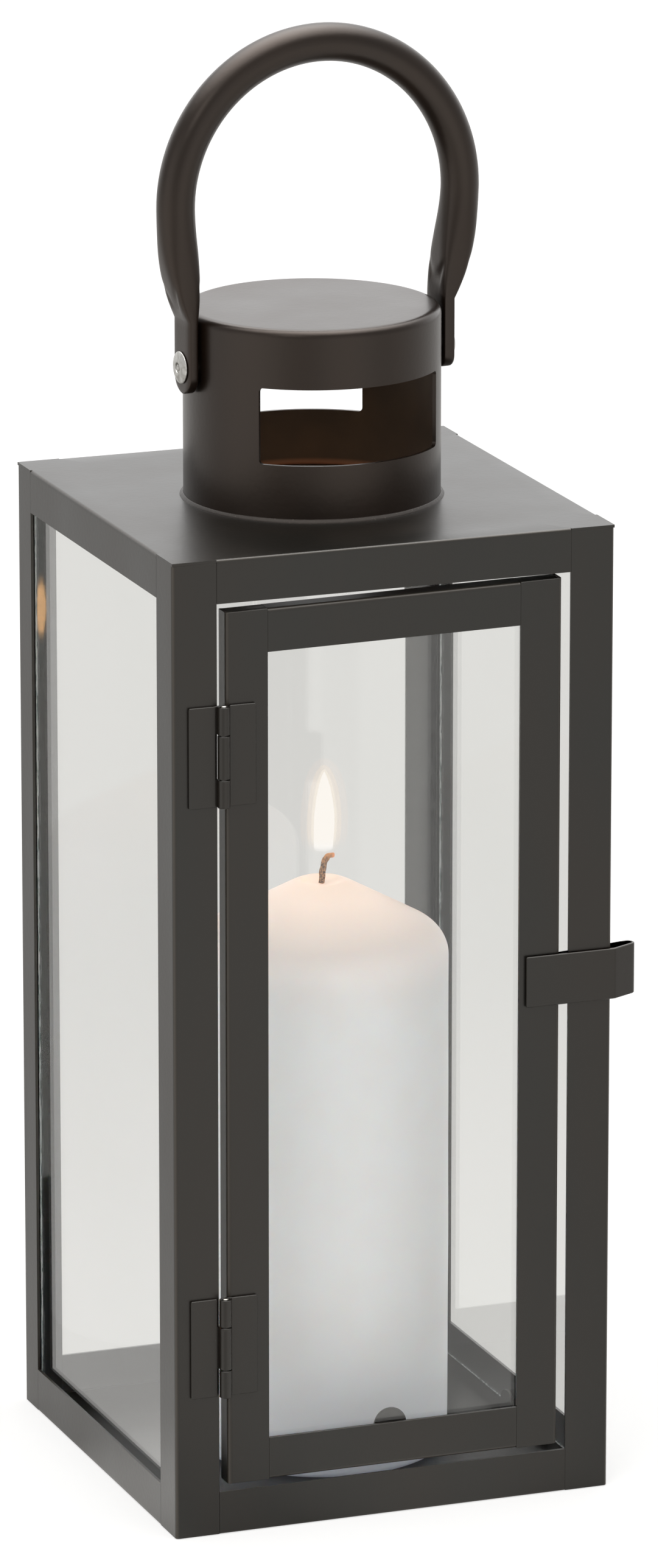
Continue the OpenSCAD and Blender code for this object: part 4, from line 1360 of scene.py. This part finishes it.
class LANTERN_OT_candle(Operator):
    """Builds the pillar candle, its wick and its flame"""

    bl_idname = "lantern.build_candle"
    bl_label = "Candle and flame"

    def execute(self, context):
        sizes = context.scene.lantern_sizes
        colours = context.scene.lantern_colours
        low, high = box("candle")
        x, y = (low + high)[:2] / 2
        # The painted warm colour and glow of the flame's light in the wax are centred just above the wick's
        # foot, where that light is strongest.
        name = "moulded_paraffin_wax"
        wax = pick(name, pillar_wax, colours.wax[:], colours.wax_painted_flame_light[:], (x + 1.0, y, high[2] + 4.0))
        body = candle_shell((x, y), (high[0] - low[0]) / 2, low[2], high[2])
        make_piece("pillar_candle", [body], [wax], "candle", ["candle"])
        low, high = box("wick")
        char = pick("charred_cotton_braid", charred_cotton)
        cord = wick_shell((x, y, low[2]), radius=0.86)
        make_piece("curled_wick", [cord], [char], "candle", ["wick"])
        tall = sizes.flame_height / MM
        wide = sizes.flame_width / MM
        start = (x + 0.45, y, high[2] + 0.2)
        core = glowing_gas("white_flame_gas", hex_colour("#F9F8F6"), 1.0, 1.0, start[2], start[2] + 2.6)
        make_piece("flame_core", [flame_shell(start, tall, wide, 0.0)], [core], "candle")
        # The haze passes from pale gold by the core to a faint rose: swell in millimetres, the share
        # of what is behind that a layer covers when the eye crosses it twice, glow and its strength.
        haze = ((0.7, 0.45, "#FFF8EA", 0.95), (1.9, 0.16, "#FFE6C8", 1.15), (3.7, 0.06, "#FFDAC2", 1.3))
        for k, (swell, cover, tone, strength) in enumerate(haze, 1):
            name = f"flame_haze_{k}"
            opacity = 1 - math.sqrt(1 - cover)
            gas = glowing_gas(name + "_gas", hex_colour(tone), strength, opacity, start[2], start[2] + 5.0)
            make_piece(name, [flame_shell(start, tall, wide, swell)], [gas], "candle")
        return {"FINISHED"}


# ---- stage -------------------------------------------------------------------


def soft_box(tree, direction, heading, low, high, strength, rest):
    """The rest plus a soft box: strength times a straight ramp, from low to high, of the dot product
    of the direction and the box's heading."""
    along = add(tree, "VectorMath", {"operation": "DOT_PRODUCT", 0: direction, 1: heading}, "Value")
    share = ramp(tree, along, low, high)
    return add(tree, "Math", {"operation": "MULTIPLY_ADD", 0: share, 1: strength, 2: rest})


def by_ray(tree, seen, mirrored, behind_glass, inside, other):
    """One strength for each kind of ray: seen by the eye, mirrored in gloss, seen by the eye through
    glass, falling in through the panes on matt and on glossy surfaces, and other light."""
    path = add(tree, "LightPath", output=None)
    matt, gloss = inside
    lit = add(tree, "Math", {"operation": "GREATER_THAN", 0: path["Diffuse Depth"], 1: 0.5})
    shiny = add(tree, "Math", {"operation": "GREATER_THAN", 0: path["Glossy Depth"], 1: 0.5})
    glass = mixed(tree, shiny, behind_glass, gloss, "FLOAT")
    glass = mixed(tree, lit, glass, matt, "FLOAT")
    result = mixed(tree, path["Is Glossy Ray"], other, mirrored, "FLOAT")
    result = mixed(tree, path["Is Transmission Ray"], result, glass, "FLOAT")
    return mixed(tree, path["Is Camera Ray"], result, seen, "FLOAT")


# Headings of the soft boxes overhead and round the set, of the backdrop, and of the bright side
# ahead of the lantern that its inside mirrors.
OVERHEAD = (0.06, 0.16, 0.985)
LEFT_BOX = (-0.96, -0.28, 0.0)
FRONT_BOX = (0.2, -0.98, 0.0)
BACKDROP = (0.35, 0.94, 0.0)
AHEAD = (0.35, -0.94, 0.0)


def studio_floor(colour):
    """Matt studio paper. The eye gets a white ground with the lantern's own faint shadow; in gloss it
    shows the pools of the soft boxes, and behind glass it reads as light grey, paler close by."""
    material, tree, point = start_material("matt_studio_paper")
    # Paper fibre, drawn at 2 mm.
    fibre = noise(tree, point, 0.002, 2.0)
    bump = add(tree, "Bump", {"Strength": 0.1, "Distance": 0.0001, "Height": fibre})
    matt = add(tree, "BsdfDiffuse", {"Color": colour, "Roughness": 0.6, "Normal": bump})
    away = add(tree, "VectorMath", {"operation": "LENGTH", 0: point}, "Value")
    heading = add(tree, "VectorMath", {"operation": "NORMALIZE", 0: point})
    behind_glass = ramp(tree, away, 0.12, 0.48, 0.79, 0.69)
    near = ramp(tree, away, 0.07, 0.3, 0.22, 0.0)
    pool = add(tree, "Math", {"operation": "ADD", 0: near, 1: 0.32})
    pool = soft_box(tree, heading, LEFT_BOX, 0.8, 0.99, 0.4, pool)
    pool = soft_box(tree, heading, FRONT_BOX, 0.85, 0.99, 0.34, pool)
    inner = soft_box(tree, heading, AHEAD, 0.3, 0.9, 0.5, 0.78)
    strength = by_ray(tree, 0.62, pool, behind_glass, (1.5, inner), 0.0)
    glow = add(tree, "Emission", {"Color": (1.0, 0.985, 0.955, 1), "Strength": strength})
    white = add(tree, "Emission", {"Color": (1, 1, 1, 1), "Strength": strength})
    gloss = add(tree, "LightPath", output="Is Glossy Ray")
    tone = add(tree, "MixShader", {0: gloss, 1: white, 2: glow})
    lit = add(tree, "AddShader", {0: matt, 1: tone})
    through = add(tree, "LightPath", output="Is Transmission Ray")
    final = add(tree, "MixShader", {0: through, 1: lit, 2: tone})
    add(tree, "OutputMaterial", {"Surface": final}, None)
    material.cycles.emission_sampling = "NONE"
    return material


def studio_world():
    """Even white surround. Gloss sees it darker in front, with a broad soft box overhead, one at the
    left and one in front, and a bright backdrop behind."""
    world = bpy.data.worlds.new("studio")
    world.use_nodes = True
    tree = world.node_tree
    tree.nodes.clear()
    heading = add(tree, "TexCoord", output="Generated")
    around = soft_box(tree, heading, OVERHEAD, 0.6, 1.0, 5.6, 0.55)
    around = soft_box(tree, heading, LEFT_BOX, 0.85, 0.99, 0.6, around)
    around = soft_box(tree, heading, FRONT_BOX, 0.85, 0.99, 0.4, around)
    around = soft_box(tree, heading, BACKDROP, 0.2, 0.9, 1.0, around)
    inner = soft_box(tree, heading, AHEAD, 0.3, 0.9, 0.5, 0.78)
    strength = by_ray(tree, 1.0, around, 0.69, (1.75, inner), 0.85)
    glow = add(tree, "Background", {"Color": (1, 1, 1, 1), "Strength": strength})
    add(tree, "OutputWorld", {"Surface": glow}, None)
    bpy.context.scene.world = world


def studio_ground(colour):
    """The floor: a level grid of squares 0.5 m wide, 12 m in all, 0.2 mm under the lantern's feet."""
    span = np.linspace(-6.0, 6.0, 25)
    x, y = np.meshgrid(span, span)
    points = np.stack([x, y, np.full_like(x, -0.0002)], -1).reshape(-1, 3)
    mesh = bpy.data.meshes.new("studio_floor")
    mesh.from_pydata(points.tolist(), [], grid_faces(*x.shape, wrap_columns=False).tolist())
    mesh.materials.append(studio_floor(colour))
    link_object("studio_floor", mesh)


def area_light(name, place, target, size, radiance, colour):
    """A rectangular soft box that faces its target. Its power is radiance times pi times its area."""
    data = bpy.data.lights.new(name, "AREA")
    data.shape = "RECTANGLE"
    data.size, data.size_y = size
    data.energy = radiance * math.pi * size[0] * size[1]
    data.color = colour
    lamp = link_object(name, data)
    lamp.location = place
    lamp.rotation_euler = (Vector(target) - Vector(place)).to_track_quat("-Z", "Y").to_euler()
    return lamp


def small_light(name, place, energy, colour):
    """A point lamp that only lights surfaces, and shows in no glass."""
    data = bpy.data.lights.new(name, "POINT")
    data.energy = energy
    data.color = colour
    data.shadow_soft_size = 0.001
    lamp = link_object(name, data)
    lamp.location = place
    lamp.visible_transmission = False
    lamp.visible_glossy = False


def flame_image(x, y, z):
    """The flame's amber mirror image, which the panes throw into the back left corner. It is a small
    lamp that faces back, fades from its middle outwards and shows only in gloss."""
    size, radiance, amber = (0.0040, 0.022), 46.0, (1.0, 0.54, 0.2)
    lamp = area_light("flame_image", (x, y, z), (x, y + 0.018, z), size, radiance, amber)
    lamp.visible_camera = False
    lamp.visible_transmission = False
    lamp.visible_diffuse = False
    lamp.data.use_nodes = True
    tree = lamp.data.node_tree
    spot = add(tree, "NewGeometry", output="Parametric")
    off = add(tree, "VectorMath", {"operation": "DISTANCE", 0: spot, 1: (0.5, 0.5, 0.0)}, "Value")
    fade = ramp(tree, off, 0.5, 0.0, kind="SMOOTHERSTEP")
    tree.links.new(fade, tree.nodes["Emission"].inputs["Strength"])


def studio_camera(place, yaw, pitch, lens):
    """The camera, which looks yaw degrees to the right of +Y and pitch degrees down. Its lens is given
    in millimetres, for a sensor 36 mm wide."""
    data = bpy.data.cameras.new("camera")
    data.sensor_width = 36.0
    data.lens = lens
    data.clip_start = 0.05
    data.clip_end = 60.0
    camera = link_object("camera", data)
    yaw, pitch = math.radians(yaw), math.radians(pitch)
    level = math.cos(pitch)
    ahead = Vector((math.sin(yaw) * level, math.cos(yaw) * level, -math.sin(pitch)))
    camera.location = place
    camera.rotation_euler = ahead.to_track_quat("-Z", "Y").to_euler()
    bpy.context.scene.camera = camera


class LANTERN_OT_stage(Operator):
    """Builds the floor, the surround, the lamps and the camera"""

    bl_idname = "lantern.build_stage"
    bl_label = "Stage"

    def execute(self, context):
        scene = context.scene
        scene.view_settings.view_transform = "Standard"
        studio_world()
        studio_ground(scene.lantern_colours.floor[:])
        area_light("key", (-1.5, -1.7, 1.9), (0, 0, 0.25), (0.9, 0.9), 1.6, (1.0, 0.985, 0.96))
        area_light("top", (0.2, 0.5, 2.3), (0, 0, 0.2), (1.4, 1.4), 0.9, (1.0, 1.0, 1.0))
        # The flame's own light, from the middle of its bright core.
        low, high = np.array(box("candle")) * MM
        x, y = (low + high)[:2] / 2
        small_light("flame_light", (x + 0.0015, y, high[2] + 0.0171), 0.0075, (1.0, 0.62, 0.32))
        # The light that the flame throws up under the chimney, gathered 4 mm under the lid's top.
        vent = box("top_cover")[1][2] * MM - 0.004
        small_light("vent_light", (0.002, 0.010, vent), 0.004, (1.0, 0.58, 0.34))
        flame_image(-0.0541, 0.0520, 0.2293)
        studio_camera((-0.8730, -2.3293, 0.8639), 20.652, 15.157, 216.0)
        return {"FINISHED"}


# ---- panel and registration --------------------------------------------------

BUILDERS = (
    LANTERN_OT_stage,
    LANTERN_OT_frame,
    LANTERN_OT_glass,
    LANTERN_OT_chimney,
    LANTERN_OT_handle,
    LANTERN_OT_door,
    LANTERN_OT_hinges,
    LANTERN_OT_latch,
    LANTERN_OT_candle,
)


class LANTERN_PT_pieces(Panel):
    """Lists the lantern's sizes, colours and builders"""

    bl_idname = "LANTERN_PT_pieces"
    bl_label = "Candle Lantern"
    bl_space_type = "VIEW_3D"
    bl_region_type = "UI"
    bl_category = "Lantern"

    def draw(self, context):
        layout = self.layout
        for group in (context.scene.lantern_sizes, context.scene.lantern_colours):
            for name in group.__annotations__:
                layout.prop(group, name)
        for builder in BUILDERS:
            layout.operator(builder.bl_idname)


CLASSES = (LanternSizes, LanternColours, *BUILDERS, LANTERN_PT_pieces)


def register():
    """Registers the classes and hangs the two groups on the scene."""
    for cls in CLASSES:
        bpy.utils.register_class(cls)
    bpy.types.Scene.lantern_sizes = PointerProperty(type=LanternSizes)
    bpy.types.Scene.lantern_colours = PointerProperty(type=LanternColours)


def unregister():
    """Takes the two groups and the classes away again."""
    del bpy.types.Scene.lantern_colours
    del bpy.types.Scene.lantern_sizes
    for cls in reversed(CLASSES):
        bpy.utils.unregister_class(cls)


def main():
    """Builds every piece in order."""
    register()
    bpy.ops.lantern.build_stage()
    bpy.ops.lantern.build_frame()
    bpy.ops.lantern.build_glass()
    bpy.ops.lantern.build_chimney()
    bpy.ops.lantern.build_handle()
    bpy.ops.lantern.build_door()
    bpy.ops.lantern.build_hinges()
    bpy.ops.lantern.build_latch()
    bpy.ops.lantern.build_candle()


if __name__ == "__main__":
    main()
